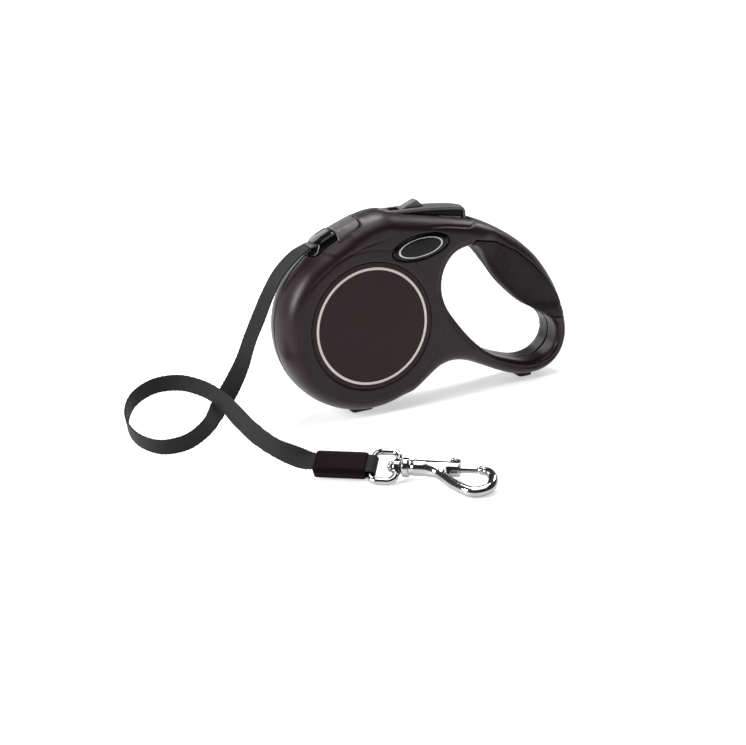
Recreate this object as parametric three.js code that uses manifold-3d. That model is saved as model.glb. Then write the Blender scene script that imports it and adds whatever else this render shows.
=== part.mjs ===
// Retractable tape leash: a drum-shaped casing with a hand loop behind it, a brake button on top,
// a sprung tape spool inside, and a flat tape that ends in a sleeve, a swivel eye and a snap hook.
// Millimetres. X runs from the tape outlet (-X) to the hand loop (+X), Y across the casing,
// Z up, with z = 0 on the surface that the two feet stand on.
import * as THREE from "three";
import { mergeVertices } from "three/addons/utils/BufferGeometryUtils.js";
import Module from "manifold-3d";

const wasm = await Module();
wasm.setup();

// ---------------------------------------------------------------- driving dimensions
const GAP = 0.3; // clearance kept between touching pieces
const DRUM = { z: 48.4, radius: 47.4, half: 15.7, face: 38.5 }; // centre height, radius, half width
const CAVITY = { radius: 44.2, half: 12.9, chamfer: 4.8 };
const EDGE = 8; // rounding of the loop's long edges
const TAPER = { from: 46, to: 84, scale: 0.82 }; // the loop is thinner than the drum
const WALL = 2.8;
const LABEL = { radius: 33.2, thickness: 0.85, face: 15.55 };
const BADGE = { x: 29.5, z: 85.2, a: 16, b: 6.3, tilt: 6, low: 14.95, high: 16.4 };
const TAPE = { width: 10, thickness: 1 };
const WINDING = { outer: 39.6, inner: 15.6 };
const FLANGE = { radius: 43, root: 40.6, thickness: 1.5, teeth: 24 };
const AXLE_RADIUS = 4.8;
const PAWL_ANGLE = 40; // degrees above +X, seen from the drum's centre
const HINGE = { x: 17, z: 97.3, radius: 1.5 }; // pivot of the brake button
const SPRING_CUP = { inner: 28.2, outer: 30, low: 7.3, high: 11.9 };
const NOSE = { half: 8.4, cap: 8.6 };
const FEET = { front: [-9.5, 2.5], rear: [89, 99], half: 6.2 };
const SCREWS = [
  ["screw_crown", 6.5, 96.8],
  ["screw_handle_top", 70.5, 86.2],
  ["screw_handle_end", 114.4, 21.5],
  ["screw_arm", 43.2, 22.4],
];
// The end fitting lies on the floor: place of the hook's collar, heading of its axis, and how
// far the flat eye and the hook are rolled about that axis.
const FITTING = { x: -23.4, y: -99.8, z: 6.2, yaw: -39, eyeRoll: 30, hookRoll: 13 };
const SLEEVE = { from: -44.7, to: -19.2, width: 13, thickness: 6.4 };
const EYE = { bar: -17.3, end: -5.2, half: 8.5, wire: 1.4 };
const BOLT = { radius: 1.6, rear: 14, tip: 33, knob: 21.5, travel: 6 };

// Outer outline of the hand loop and the crown, from inside the drum, anticlockwise.
const LOOP_OUTLINE = [
  [22, 6.5], [32, 11.8], [40, 16.2], [47.5, 17.8], [56, 16.4], [67, 11.5], [77, 6.5], [86, 3],
  [94, 1.8], [102, 2.4], [109.5, 5.7], [115, 11.7], [118, 19.5], [118.4, 27], [117, 36], [113, 48],
  [107, 59.5], [100, 69], [90, 78.4], [80, 85.3], [71, 90.3], [62, 94], [50, 97.2], [36, 100.2],
  [22, 103], [12, 104.8], [1, 102.9], [-8, 99],
];
const HAND_HOLE = [
  [41.6, 60], [43.6, 51], [49.5, 41], [60, 27.8], [71, 18.6], [83, 13], [94, 10.2], [103.5, 11.8],
  [109.6, 17.5], [110.8, 26.5], [106.5, 33.5], [99, 39.5], [90, 47.5], [81, 57.5], [74.5, 67.5],
  [69.5, 75], [65, 78.8], [58, 80], [49.5, 77.5], [43.5, 70],
];
// Region of the soft grip: between the hand hole and the seam on the back of the loop.
const GRIP_REGION = [
  [58, 78], [78, 45], [96, 30], [104, 32.4], [114, 32.4], [113.3, 38], [109.2, 45.5], [103, 55.4],
  [95, 65], [86, 73.4], [75, 79.6], [62, 83.2],
];
const CAP_REGION = [
  [-12.9, 106], [-12.9, 92.2], [-7.5, 94.2], [-4.3, 96], [-2, 97.6], [-0.6, 100.4], [0.2, 106],
];
const GUIDE_REGION = [[-13.3, 106], [-13.3, 92], [-17.5, 90.1], [-25, 87.5], [-34, 86], [-34, 106]];

// Middle line of the free tape, from the outlet to the sleeve, with the direction of its width.
const TAPE_ROUTE = [
  [-27, 0, 91, 0, 1, 0], [-33, 1, 87.5, 0.05, 0.97, 0.23], [-41, 3.2, 79.4, -0.03, 0.95, 0.31],
  [-46.5, 6.5, 68.8, -0.14, 0.92, 0.36], [-51, 10, 57.3, -0.24, 0.9, 0.37],
  [-56, 13.8, 44.4, -0.25, 0.9, 0.35], [-60.3, 17.3, 31.2, -0.42, 0.84, 0.35],
  [-67.3, 17.7, 19.6, -0.67, 0.57, 0.47], [-78, 8.3, 13.3, -0.55, 0.21, 0.81],
  [-89.5, -5.4, 9.6, -0.22, -0.08, 0.97], [-102, -11.2, 6.5, -0.14, -0.25, 0.96],
  [-114.4, -7.8, 5.6, -0.15, -0.35, 0.92], [-122.8, 3, 8.4, -0.16, -0.36, 0.92],
  [-123.8, 16.5, 13.6, -0.17, -0.34, 0.92], [-116.5, 28.6, 19.3, -0.17, -0.33, 0.93],
  [-104, 33.1, 23, -0.15, -0.3, 0.94], [-91.5, 28.8, 23.8, -0.08, -0.2, 0.97],
  [-82.5, 16.8, 22.3, 0.02, -0.13, 0.99], [-78.2, 1.5, 20.1, 0.19, -0.11, 0.98],
  [-77, -19.8, 17.3, 0.4, -0.09, 0.91], [-75.6, -40.7, 14.7, 0.36, -0.07, 0.93],
  [-71.3, -57.9, 12, 0.2, -0.06, 0.98], [-66.4, -65, 10, 0.36, 0.14, 0.9],
  [-61.8, -70, 8.3, 0.52, 0.55, 0.65], [-59.5, -71.9, 7.95, 0.545, 0.673, 0.5],
];

// ---------------------------------------------------------------- materials
const plastic = (color, roughness) => new THREE.MeshStandardMaterial({ color, roughness, metalness: 0 });
const metal = (color, roughness) => new THREE.MeshStandardMaterial({ color, roughness, metalness: 1 });
const MATERIAL = {
  casing: plastic("#3b3232", 0.48),
  label: plastic("#332a2a", 0.62),
  gloss: plastic("#0b0b0c", 0.12),
  cap: plastic("#5a5658", 0.42),
  button: plastic("#454345", 0.5),
  grip: plastic("#33292c", 0.75),
  rubber: plastic("#161616", 0.85),
  tape: plastic("#3a3839", 0.9),
  sleeve: plastic("#30252a", 0.55),
  inner: plastic("#c9c7c0", 0.5),
  chrome: metal("#d9dadc", 0.12),
  steel: metal("#8f9296", 0.4),
};

// ---------------------------------------------------------------- solids
function toSolid(geometry) {
  const bare = geometry.clone();
  bare.deleteAttribute("normal");
  bare.deleteAttribute("uv");
  const merged = mergeVertices(bare, 1e-4);
  const triVerts = new Uint32Array(merged.index.array);
  const vertProperties = merged.attributes.position.array;
  return new wasm.Manifold(new wasm.Mesh({ numProp: 3, vertProperties, triVerts }));
}

function toGeometry(solid) {
  const mesh = solid.getMesh();
  const geometry = new THREE.BufferGeometry();
  geometry.setAttribute("position", new THREE.BufferAttribute(mesh.vertProperties, 3));
  geometry.setIndex(new THREE.BufferAttribute(mesh.triVerts, 1));
  geometry.computeVertexNormals();
  return geometry;
}

const vectors = (points) => points.map(([a, b]) => new THREE.Vector2(a, b));

// A closed smooth curve through the points, as a list of [x, z].
function smoothLoop(points, divisions) {
  return smoothPoints(points, true, divisions).slice(0, -1);
}

// The same for an open curve.
function smoothLine(points, divisions) {
  return smoothPoints(points, false, divisions);
}

function smoothPoints(points, closed, divisions) {
  const knots = points.map(([a, b]) => new THREE.Vector3(a, b, 0));
  const spine = new THREE.CatmullRomCurve3(knots, closed, "centripetal");
  return spine.getPoints(divisions).map((p) => [p.x, p.y]);
}

// Moves an outline outwards by a distance (inwards when it is negative).
function offset(points, distance) {
  const side = THREE.ShapeUtils.area(vectors(points)) > 0 ? 1 : -1;
  return points.map(([x, z], i) => {
    const [ax, az] = points[(i + points.length - 1) % points.length];
    const [bx, bz] = points[(i + 1) % points.length];
    const before = new THREE.Vector2(z - az, ax - x).normalize();
    const after = new THREE.Vector2(bz - z, x - bx).normalize();
    const normal = before.clone().add(after).normalize();
    const miter = (side * distance) / Math.max(normal.dot(before), 0.4);
    return [x + normal.x * miter, z + normal.y * miter];
  });
}

// A slab whose outline lies in the XZ plane, from y = low to y = high.
function slab(outline, low, high, edge = 0, edgeDepth = edge, segments = 3) {
  const geometry = new THREE.ExtrudeGeometry(new THREE.Shape(vectors(outline)), {
    depth: high - low - 2 * edgeDepth,
    bevelEnabled: edge > 0,
    bevelSize: edge,
    bevelThickness: edgeDepth,
    bevelOffset: -edge,
    bevelSegments: segments,
    steps: 1,
  });
  geometry.rotateX(Math.PI / 2);
  geometry.translate(0, high - edgeDepth, 0);
  return geometry;
}

const ring = (radius, count, x = 0, z = 0, start = 0) =>
  Array.from({ length: count }, (_, i) => {
    const angle = start + (i / count) * 2 * Math.PI;
    return [x + radius * Math.cos(angle), z + radius * Math.sin(angle)];
  });

// A turned piece whose axis lies along Y; the profile holds [radius, y] pairs.
function turnedY(profile, segments, x = 0, z = 0) {
  return new THREE.LatheGeometry(vectors(profile), segments).translate(x, 0, z);
}

const rodY = (radius, low, high, x, z, segments = 20) =>
  turnedY([[0, low], [radius, low], [radius, high], [0, high]], segments, x, z);

// Round disc with a hole, on the drum's axis.
function washerY(inner, outer, low, high, segments) {
  const profile = [[inner, low], [outer, low], [outer, high], [inner, high], [inner, low]];
  return turnedY(profile, segments, 0, DRUM.z);
}

// A turned piece whose axis lies along local X; the profile holds [radius, x] pairs.
const turnedX = (profile, segments) =>
  new THREE.LatheGeometry(vectors(profile), segments).rotateZ(-Math.PI / 2);

function box(x0, x1, y0, y1, z0, z1) {
  return new THREE.BoxGeometry(x1 - x0, y1 - y0, z1 - z0)
    .translate((x0 + x1) / 2, (y0 + y1) / 2, (z0 + z1) / 2);
}

const ellipse = (a, b, tilt, x, z, count = 40) => {
  const turn = THREE.MathUtils.degToRad(tilt);
  return ring(1, count).map(([c, s]) => [
    x + a * c * Math.cos(turn) - b * s * Math.sin(turn),
    z + a * c * Math.sin(turn) + b * s * Math.cos(turn),
  ]);
};

const roundedRect = (width, height, radius, cx = 0, cz = 0, arc = 3) => {
  const corners = [[1, 1, 0], [-1, 1, 90], [-1, -1, 180], [1, -1, 270]];
  return corners.flatMap(([sx, sz, start]) =>
    Array.from({ length: arc + 1 }, (_, i) => {
      const angle = THREE.MathUtils.degToRad(start + (i / arc) * 90);
      return [
        cx + sx * (width / 2 - radius) + radius * Math.cos(angle),
        cz + sz * (height / 2 - radius) + radius * Math.sin(angle),
      ];
    }));
};

// Closed band of rectangular section that follows stations [x, y, z, widthX, widthY, widthZ].
function ribbon(stations, width, thickness, steps) {
  const path = new THREE.CatmullRomCurve3(stations.map((s) => new THREE.Vector3(s[0], s[1], s[2])));
  const lay = new THREE.CatmullRomCurve3(stations.map((s) => new THREE.Vector3(s[3], s[4], s[5])));
  const positions = [];
  for (let i = 0; i <= steps; i++) {
    const t = i / steps;
    const along = path.getTangent(t);
    const across = lay.getPoint(t);
    across.addScaledVector(along, -across.dot(along)).normalize();
    const normal = new THREE.Vector3().crossVectors(along, across);
    for (const [a, b] of [[-1, -1], [1, -1], [1, 1], [-1, 1]]) {
      const corner = path.getPoint(t)
        .addScaledVector(across, (a * width) / 2)
        .addScaledVector(normal, (b * thickness) / 2);
      positions.push(corner.x, corner.y, corner.z);
    }
  }
  const index = [0, 2, 1, 0, 3, 2];
  for (let i = 0; i < steps; i++) {
    for (let k = 0; k < 4; k++) {
      const a = 4 * i + k;
      const b = 4 * i + ((k + 1) % 4);
      index.push(a, b, b + 4, a, b + 4, a + 4);
    }
  }
  const last = 4 * steps;
  index.push(last, last + 1, last + 2, last, last + 2, last + 3);
  const geometry = new THREE.BufferGeometry();
  geometry.setAttribute("position", new THREE.BufferAttribute(new Float32Array(positions), 3));
  geometry.setIndex(index);
  geometry.computeVertexNormals();
  return geometry;
}

// Round wire along a smooth line of points.
function wire(points, radius, sides, steps) {
  const path = new THREE.CatmullRomCurve3(points.map((p) => new THREE.Vector3(...p)), false, "centripetal");
  const section = new THREE.Shape(vectors(ring(radius, sides)));
  return new THREE.ExtrudeGeometry(section, { steps, extrudePath: path, bevelEnabled: false });
}

// Points of a helix about Z between two heights.
function helix(radius, turns, low, high, perTurn) {
  const count = turns * perTurn;
  return Array.from({ length: count + 1 }, (_, i) => {
    const angle = (i / perTurn) * 2 * Math.PI;
    return [radius * Math.cos(angle), radius * Math.sin(angle), low + ((high - low) * i) / count];
  });
}

// ---------------------------------------------------------------- casing
// Narrows the hand loop smoothly from the drum's width to the handle's.
function taper(geometry) {
  const p = geometry.attributes.position;
  for (let i = 0; i < p.count; i++) {
    const k = THREE.MathUtils.smoothstep(p.getX(i), TAPER.from, TAPER.to);
    p.setY(i, p.getY(i) * (1 - (1 - TAPER.scale) * k));
  }
  return geometry;
}

function drumForm() {
  const arc = 5;
  const rim = Array.from({ length: 2 * arc + 1 }, (_, i) => {
    const angle = ((i - arc) / arc) * (Math.PI / 2);
    return [DRUM.face + (DRUM.radius - DRUM.face) * Math.cos(angle), DRUM.half * Math.sin(angle)];
  });
  return turnedY([[0, -DRUM.half], ...rim, [0, DRUM.half]], 56, 0, DRUM.z);
}

const loopOuter = [[-16, 78], [-4, 30], [12, 10], ...smoothLine(LOOP_OUTLINE, 62), [-20, 89]];
const holeOutline = smoothLoop(HAND_HOLE, 46);

function loopForm() {
  const outer = toSolid(taper(slab(loopOuter, -DRUM.half, DRUM.half, EDGE, EDGE, 2)));
  return outer.subtract(toSolid(slab(holeOutline, -20, 20)));
}

function noseForm() {
  const outline = [
    [-10, 80], [-24, 86.8], [-26.8, 88.4], [-26.6, 91], [-24, 93.7], [-20.3, 95.9], [-15, 98],
    [-8, 99.9], [0.3, 102], [6, 101], [6, 88],
  ];
  return toSolid(slab(outline, -NOSE.half, NOSE.half, 2.4, 2.4, 2));
}

const outerForm = toSolid(drumForm()).add(loopForm()).add(noseForm());

function drumCavity() {
  const { radius, half, chamfer } = CAVITY;
  const narrow = radius - chamfer;
  const profile = [
    [0, -half], [narrow, -half], [radius, -half + chamfer],
    [radius, half - chamfer], [narrow, half], [0, half],
  ];
  return turnedY(profile, 40, 0, DRUM.z);
}

// Hollow of the hand loop, with a boss left round each screw.
function loopCavity() {
  const depth = 10.4;
  let space = toSolid(taper(slab(offset(loopOuter, -WALL), -depth, depth)));
  space = space.subtract(toSolid(slab(offset(holeOutline, WALL), -20, 20)));
  space = space.subtract(toSolid(slab(offset(GRIP_REGION, 2.4), -20, 20)));
  space = space.subtract(toSolid(box(-40, 64, -20, 20, 70, 110)));
  space = space.subtract(toSolid(box(86, 102, -20, 20, 0, 7)));
  for (const [, x, z] of SCREWS) space = space.subtract(toSolid(rodY(3.6, -20, 20, x, z, 12)));
  return space;
}

const BUTTON_WELL = [
  [12.6, 112], [12.6, 100.6], [13.4, 93.8], [28, 92.4], [43, 88.4], [61, 88.4], [63.4, 89.5],
  [63.4, 112],
];
const PAWL_WELL = [[27, 95], [27, 80], [31, 72.5], [39.6, 72.5], [43, 79], [43, 95]];

// Everything that the casing halves leave room for.
function casingHollows() {
  let hollow = toSolid(drumCavity()).add(loopCavity());
  const cuts = [
    slab(BUTTON_WELL, -6.9, 6.9),
    slab(PAWL_WELL, -7.6, 4),
    box(50.5, 57.5, -3.5, 3.5, 83.6, 94),
    slab(offset(CAP_REGION, GAP), -NOSE.cap - GAP, NOSE.cap + GAP),
    slab(offset(GUIDE_REGION, GAP), -NOSE.cap - GAP, NOSE.cap + GAP),
    slab(offset(GRIP_REGION, GAP), -20, 20),
    box(-24, 0, -7, 7, 84, 93),
    rodY(HINGE.radius + GAP, -10, 10, HINGE.x, HINGE.z),
    box(FEET.front[0] - GAP, FEET.front[1] + GAP, -FEET.half - GAP, FEET.half + GAP, -1, 3),
    box(FEET.rear[0] - GAP, FEET.rear[1] + GAP, -FEET.half - GAP, FEET.half + GAP, -1, 5),
  ];
  for (const side of [-1, 1]) {
    const floor = LABEL.face - LABEL.thickness - GAP;
    cuts.push(rodY(LABEL.radius + GAP, ...span(side, floor, 20), 0, DRUM.z, 48));
    cuts.push(slab(badgeOutline(side, GAP), ...span(side, BADGE.low - GAP, 20)));
  }
  for (const cut of cuts) hollow = hollow.add(toSolid(cut));
  return hollow;
}

// A range of y mirrored to the wanted side of the casing, low end first.
function span(side, inner, outer) {
  return side > 0 ? [inner, outer] : [-outer, -inner];
}

const badgeOutline = (side, grow = 0) =>
  ellipse(BADGE.a + grow, BADGE.b + grow, BADGE.tilt, BADGE.x, BADGE.z, 28);

const hollows = casingHollows();

function screwHole(x, z) {
  return toSolid(turnedY([[0, -8], [1.45, -8], [1.45, 6], [3, 6], [3, 20], [0, 20]], 16, x, z));
}

function casingHalf(side) {
  const [low, high] = span(-side, -GAP / 2, 50);
  let half = outerForm.subtract(hollows).subtract(toSolid(box(-200, 200, low, high, -10, 200)));
  for (const [, x, z] of SCREWS) half = half.subtract(screwHole(x, z));
  return toGeometry(half);
}

function softGrip() {
  const region = toSolid(slab(GRIP_REGION, -20, 20));
  const behind = [[70, 70.5], [90, 52], [112, 33.5], [125, 40], [105, 80], [75, 95]];
  const pocket = toSolid(slab(behind, -9.5, 9.5));
  const inner = toSolid(slab(offset(holeOutline, 4), -9.5, 9.5));
  return toGeometry(outerForm.intersect(region).subtract(pocket.subtract(inner)));
}

function noseCap() {
  const region = toSolid(slab(CAP_REGION, -NOSE.cap, NOSE.cap));
  const channel = toSolid(box(-30, 0, -7, 7, 84, 94.6));
  return toGeometry(outerForm.intersect(region).subtract(channel));
}

// Fairlead at the nose: a glossy block with a flared slot that the tape runs through.
function outletGuide() {
  const region = toSolid(slab(GUIDE_REGION, -NOSE.cap, NOSE.cap));
  const flare = [[-12, 90.6], [-12, 94.4], [-22, 93.2], [-30, 93], [-30, 88.6], [-22, 90.6]];
  return toGeometry(outerForm.intersect(region).subtract(toSolid(slab(flare, -5.8, 5.8))));
}

function foot([x0, x1], top) {
  return slab(roundedRect(x1 - x0, 2 * FEET.half, 2.5, 0, 0), 0, top)
    .rotateX(Math.PI / 2)
    .translate((x0 + x1) / 2, 0, 0);
}

function labelDisc(side) {
  const [low, high] = span(side, LABEL.face - LABEL.thickness, LABEL.face);
  return rodY(LABEL.radius, low, high, 0, DRUM.z, 48);
}

function badge(side) {
  return slab(badgeOutline(side), ...span(side, BADGE.low, BADGE.high), 0.7, 0.5, 2);
}

function screw(x, z) {
  const profile = [
    [0, -7.4], [1.15, -6.4], [1.15, 6.3], [2.7, 6.3], [2.7, 8], [1.2, 8], [1, 7.2], [0, 7.2],
  ];
  return turnedY(profile, 12, x, z);
}

// ---------------------------------------------------------------- spool and spring
function spoolDrum() {
  const bore = AXLE_RADIUS + GAP;
  const half = TAPE.width / 2 + GAP;
  const profile = [
    [bore, -half - FLANGE.thickness], [10, -half - FLANGE.thickness], [10, -half + 0.2],
    [WINDING.inner - GAP, -half + 0.2], [WINDING.inner - GAP, half], [FLANGE.radius, half],
    [FLANGE.radius, half + FLANGE.thickness], [SPRING_CUP.outer, half + FLANGE.thickness],
    [SPRING_CUP.outer, SPRING_CUP.high], [SPRING_CUP.inner, SPRING_CUP.high],
    [SPRING_CUP.inner, half + FLANGE.thickness + 0.3], [bore, half + FLANGE.thickness + 0.3],
    [bore, -half - FLANGE.thickness],
  ];
  return turnedY(profile, 48, 0, DRUM.z);
}

// Flange with the ratchet rim: a gap between two teeth faces the pawl.
function ratchetFlange() {
  const pitch = (2 * Math.PI) / FLANGE.teeth;
  const start = THREE.MathUtils.degToRad(PAWL_ANGLE);
  const tooth = [
    [-0.28, FLANGE.root], [0.28, FLANGE.root], [0.36, FLANGE.radius], [0.64, FLANGE.radius],
  ];
  const rim = [];
  for (let i = 0; i < FLANGE.teeth; i++) {
    for (const [part, radius] of tooth) {
      const angle = start + (i + part) * pitch;
      rim.push([radius * Math.cos(angle), DRUM.z + radius * Math.sin(angle)]);
    }
  }
  const half = TAPE.width / 2 + GAP;
  const disc = toSolid(slab(rim, -half - FLANGE.thickness, -half));
  return toGeometry(disc.subtract(toSolid(rodY(10 + GAP, -12, 0, 0, DRUM.z, 40))));
}

function windingRing() {
  const half = TAPE.width / 2;
  return washerY(WINDING.inner, WINDING.outer, -half, half, 48);
}

// Flat spiral spring between the axle and the cup.
function mainspring() {
  const turns = 7;
  const perTurn = 14;
  const leaf = 0.35;
  const from = AXLE_RADIUS + 1.2;
  const to = SPRING_CUP.inner - 1.2;
  const side = (shift) => Array.from({ length: turns * perTurn + 1 }, (_, i) => {
    const t = i / (turns * perTurn);
    const radius = from + (to - from) * t + shift;
    const angle = t * turns * 2 * Math.PI;
    return [radius * Math.cos(angle), DRUM.z + radius * Math.sin(angle)];
  });
  return slab([...side(leaf), ...side(-leaf).reverse()], SPRING_CUP.low + 0.3, SPRING_CUP.high - 0.4);
}

function springCover() {
  const low = SPRING_CUP.high + GAP;
  const bore = AXLE_RADIUS + GAP;
  return washerY(bore, SPRING_CUP.outer, low, low + 0.5, 32);
}

const axle = () => rodY(AXLE_RADIUS, -CAVITY.half + GAP, CAVITY.half - GAP, 0, DRUM.z, 24);

// Stretch of tape between the winding and the outlet guide.
function tapeLead() {
  const stations = [
    [2, 0, DRUM.z + WINDING.outer + 0.9, 0, 1, 0], [-6, 0, 90, 0, 1, 0],
    [-14, 0, 92.2, 0, 1, 0], [-20, 0, 92.3, 0, 1, 0], [-26, 0, 91.6, 0, 1, 0],
  ];
  return ribbon(stations, TAPE.width, 0.8, 16);
}

// ---------------------------------------------------------------- brake
// Thumb plate: thin at its front tip, tall at the rear, with a slot and a shallow track for the lock.
function brakeButton() {
  const top = [
    [60.6, 98.8], [59.6, 100.4], [57, 101.2], [48, 102.5], [36, 103.6], [24, 104.1], [17, 104.2],
    [13.2, 104.1],
  ];
  const under = [[14.4, 100.2], [22, 99.2], [45, 97.6], [58, 95.4], [60.6, 95.5]];
  const plate = toSolid(slab([...smoothLine(top, 20), ...under], -6.3, 6.3, 0.6, 0.6, 2));
  const track = toSolid(box(19, 37.6, -3.6, 3.6, 103.1, 110));
  const slot = toSolid(box(23.4, 32.6, -1.8, 1.8, 90, 110));
  return toGeometry(plate.subtract(track).subtract(slot));
}

// Thumb ridge that slides forward in the button and locks it; its stem passes through the slot.
function lockSlide() {
  const side = [[24, 103.4], [37.2, 103.4], [37.2, 104], [33.4, 106.6], [32.4, 106.6], [24, 104]];
  const ridge = toSolid(slab(side, -3.2, 3.2, 0.3, 0.3, 1));
  const stem = toSolid(box(28.2, 32.2, -1.4, 1.4, 98, 104));
  const keeper = toSolid(box(28.2, 32.2, -2.6, 2.6, 97.3, 98.3));
  return toGeometry(ridge.add(stem).add(keeper));
}

// Lever under the button: pivot eye in front, pawl that drops into the ratchet, post at the rear.
function brakeLever() {
  const angle = THREE.MathUtils.degToRad(PAWL_ANGLE);
  const at = (radius, shift) => [
    radius * Math.cos(angle) - shift * Math.sin(angle),
    DRUM.z + radius * Math.sin(angle) + shift * Math.cos(angle),
  ];
  const outline = [
    [14.6, 95.2], [28, 93.6], [31.4, 92.6], [32.6, 84],
    at(50, 3.4), at(43.7, 1.6), at(43.7, -1.6), at(50, -2.6),
    [41.8, 84], [42, 91.6], [57.5, 93.4], [57.5, 94.8], [50, 96.2], [46, 97], [45.4, 96.4],
    [36, 96.6], [20.6, 96.9], [19, 99.4], [15.4, 99.4], [14.2, 97.4],
  ];
  const arm = toSolid(slab(outline, -6.2, 2.6));
  const eye = toSolid(rodY(HINGE.radius + GAP, -12, 12, HINGE.x, HINGE.z));
  return toGeometry(arm.subtract(eye));
}

const hingePin = () => rodY(HINGE.radius, -9.7, 9.7, HINGE.x, HINGE.z, 16);

// Compression spring under the lever's rear end.
function brakeSpring() {
  const coil = helix(2.2, 4, 84.4, 92, 8);
  return wire(coil.map(([x, y, z]) => [x + 54, y, z]), 0.35, 5, 40);
}

// ---------------------------------------------------------------- end fitting, along local X
function tapeSleeve() {
  const section = roundedRect(SLEEVE.width, SLEEVE.thickness, 2, 0, 0, 3);
  return slab(section, SLEEVE.from, SLEEVE.to, 0.5, 0.5, 1).rotateZ(-Math.PI / 2);
}

// Fold of the tape round the eye's bar.
function tapeLoop() {
  const outer = EYE.wire + GAP + TAPE.thickness;
  const inner = EYE.wire + GAP;
  const bend = (radius) => Array.from({ length: 9 }, (_, i) => {
    const angle = -Math.PI / 2 + (i / 8) * Math.PI;
    return [EYE.bar + radius * Math.cos(angle), radius * Math.sin(angle)];
  });
  const start = SLEEVE.to + GAP;
  const outline = [
    [start, -outer], ...bend(outer), [start, outer],
    [start, inner], ...bend(inner).reverse(), [start, -inner],
  ];
  return slab(outline, -TAPE.width / 2, TAPE.width / 2);
}

// Flat ring that the tape is folded through, with the boss that the swivel pin turns in.
function swivelEye() {
  const width = EYE.end - EYE.bar;
  const middle = (EYE.end + EYE.bar) / 2;
  const grow = 2 * EYE.wire;
  const rim = roundedRect(width + grow, 2 * EYE.half + grow, 5, middle, 0, 5);
  const opening = roundedRect(width - grow, 2 * EYE.half - grow, 1.8, middle, 0, 3);
  const ringShape = new THREE.Shape(vectors(rim));
  ringShape.holes.push(new THREE.Path(vectors(opening)));
  const bevel = 1;
  const plate = new THREE.ExtrudeGeometry(ringShape, {
    depth: 2 * (EYE.wire - bevel), bevelEnabled: true, bevelSize: bevel, bevelThickness: bevel,
    bevelOffset: -bevel, bevelSegments: 2, steps: 1,
  }).translate(0, 0, -EYE.wire + bevel);
  const boss = turnedX([[0, -6.9], [3.2, -6.9], [3.4, -3.2], [0, -3.2]], 20);
  const bore = turnedX([[0, -8], [1.8, -8], [1.8, 0], [0, 0]], 16);
  return toGeometry(toSolid(plate).add(toSolid(boss)).subtract(toSolid(bore)));
}

const swivelPin = () =>
  turnedX([[0, -9.6], [1.6, -9.6], [2.7, -8.8], [2.7, -7.3], [1.5, -7.3], [1.5, 2.4], [0, 2.4]], 16);

// Barrel with the bolt's bore and thumb slot, and the bend that comes round to meet the bolt.
function hookBody() {
  const profile = [
    [0, -2.7], [3.4, -2.7], [4.7, -1.6], [4.7, 0.2], [3.7, 1], [3.9, 13], [3.3, 15.5], [3.3, 24],
    [2.9, 24.6], [0, 24.6],
  ];
  const sweep = [
    [11, -1.4, 0], [15.9, -4.4, 0], [25, -12.4, 0], [34.2, -16.6, 0], [40.2, -13, 0],
    [40.8, -6.3, 0], [38, -1.4, 0], [34, 0, 0],
  ];
  const barrel = turnedX(profile, 20);
  const bend = wire(sweep, 2.2, 10, 24);
  const bore = turnedX([[0, 4.5], [1.9, 4.5], [1.9, 26], [0, 26]], 16);
  const pinHole = turnedX([[0, -5], [1.8, -5], [1.8, 2.7], [0, 2.7]], 16);
  const slot = box(BOLT.knob - BOLT.travel - 1.5, BOLT.knob + 1.5, 0, 8, -1.4, 1.4);
  let body = toSolid(barrel).add(toSolid(bend));
  for (const cut of [bore, pinHole, slot]) body = body.subtract(toSolid(cut));
  return toGeometry(body);
}

// Sliding bolt with its thumb knob.
function snapBolt() {
  const { radius, rear, tip } = BOLT;
  const side = [[0, rear], [radius, rear], [radius, tip - 0.5], [1.1, tip - 0.1], [0, tip - 0.1]];
  const rod = turnedX(side, 14);
  const knob = [[0, 0], [1.1, 0], [1.1, 3.7], [2.6, 3.9], [2.4, 5.4], [1.3, 6.2], [0, 6.4]];
  const stem = new THREE.LatheGeometry(vectors(knob), 12).translate(BOLT.knob, 0, 0);
  return toGeometry(toSolid(rod).add(toSolid(stem)));
}

function boltSpring() {
  const coil = helix(1.3, 4, 4.9, BOLT.rear - 0.4, 8);
  return wire(coil.map(([x, y, z]) => [z, x, y]), 0.25, 5, 36);
}

// ---------------------------------------------------------------- assembly
const leash = new THREE.Group();

function place(parent, name, geometry, material) {
  const mesh = new THREE.Mesh(geometry, material);
  mesh.name = name;
  parent.add(mesh);
  return mesh;
}

place(leash, "casing_left", casingHalf(-1), MATERIAL.casing);
place(leash, "casing_right", casingHalf(1), MATERIAL.casing);
place(leash, "soft_grip", softGrip(), MATERIAL.grip);
place(leash, "nose_cap", noseCap(), MATERIAL.cap);
place(leash, "outlet_guide", outletGuide(), MATERIAL.gloss);
for (const [name, side] of [["left", -1], ["right", 1]]) {
  place(leash, `label_disc_${name}`, labelDisc(side), MATERIAL.label);
  place(leash, `badge_${name}`, badge(side), MATERIAL.gloss);
}
place(leash, "front_foot", foot(FEET.front, 2.7), MATERIAL.rubber);
place(leash, "rear_foot", foot(FEET.rear, 4.7), MATERIAL.rubber);
for (const [name, x, z] of SCREWS) place(leash, name, screw(x, z), MATERIAL.steel);

place(leash, "axle", axle(), MATERIAL.steel);
place(leash, "spool_drum", spoolDrum(), MATERIAL.inner);
place(leash, "ratchet_flange", ratchetFlange(), MATERIAL.inner);
place(leash, "tape_winding", windingRing(), MATERIAL.tape);
place(leash, "mainspring", mainspring(), MATERIAL.steel);
place(leash, "spring_cover", springCover(), MATERIAL.inner);
place(leash, "tape_lead", tapeLead(), MATERIAL.tape);

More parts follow.
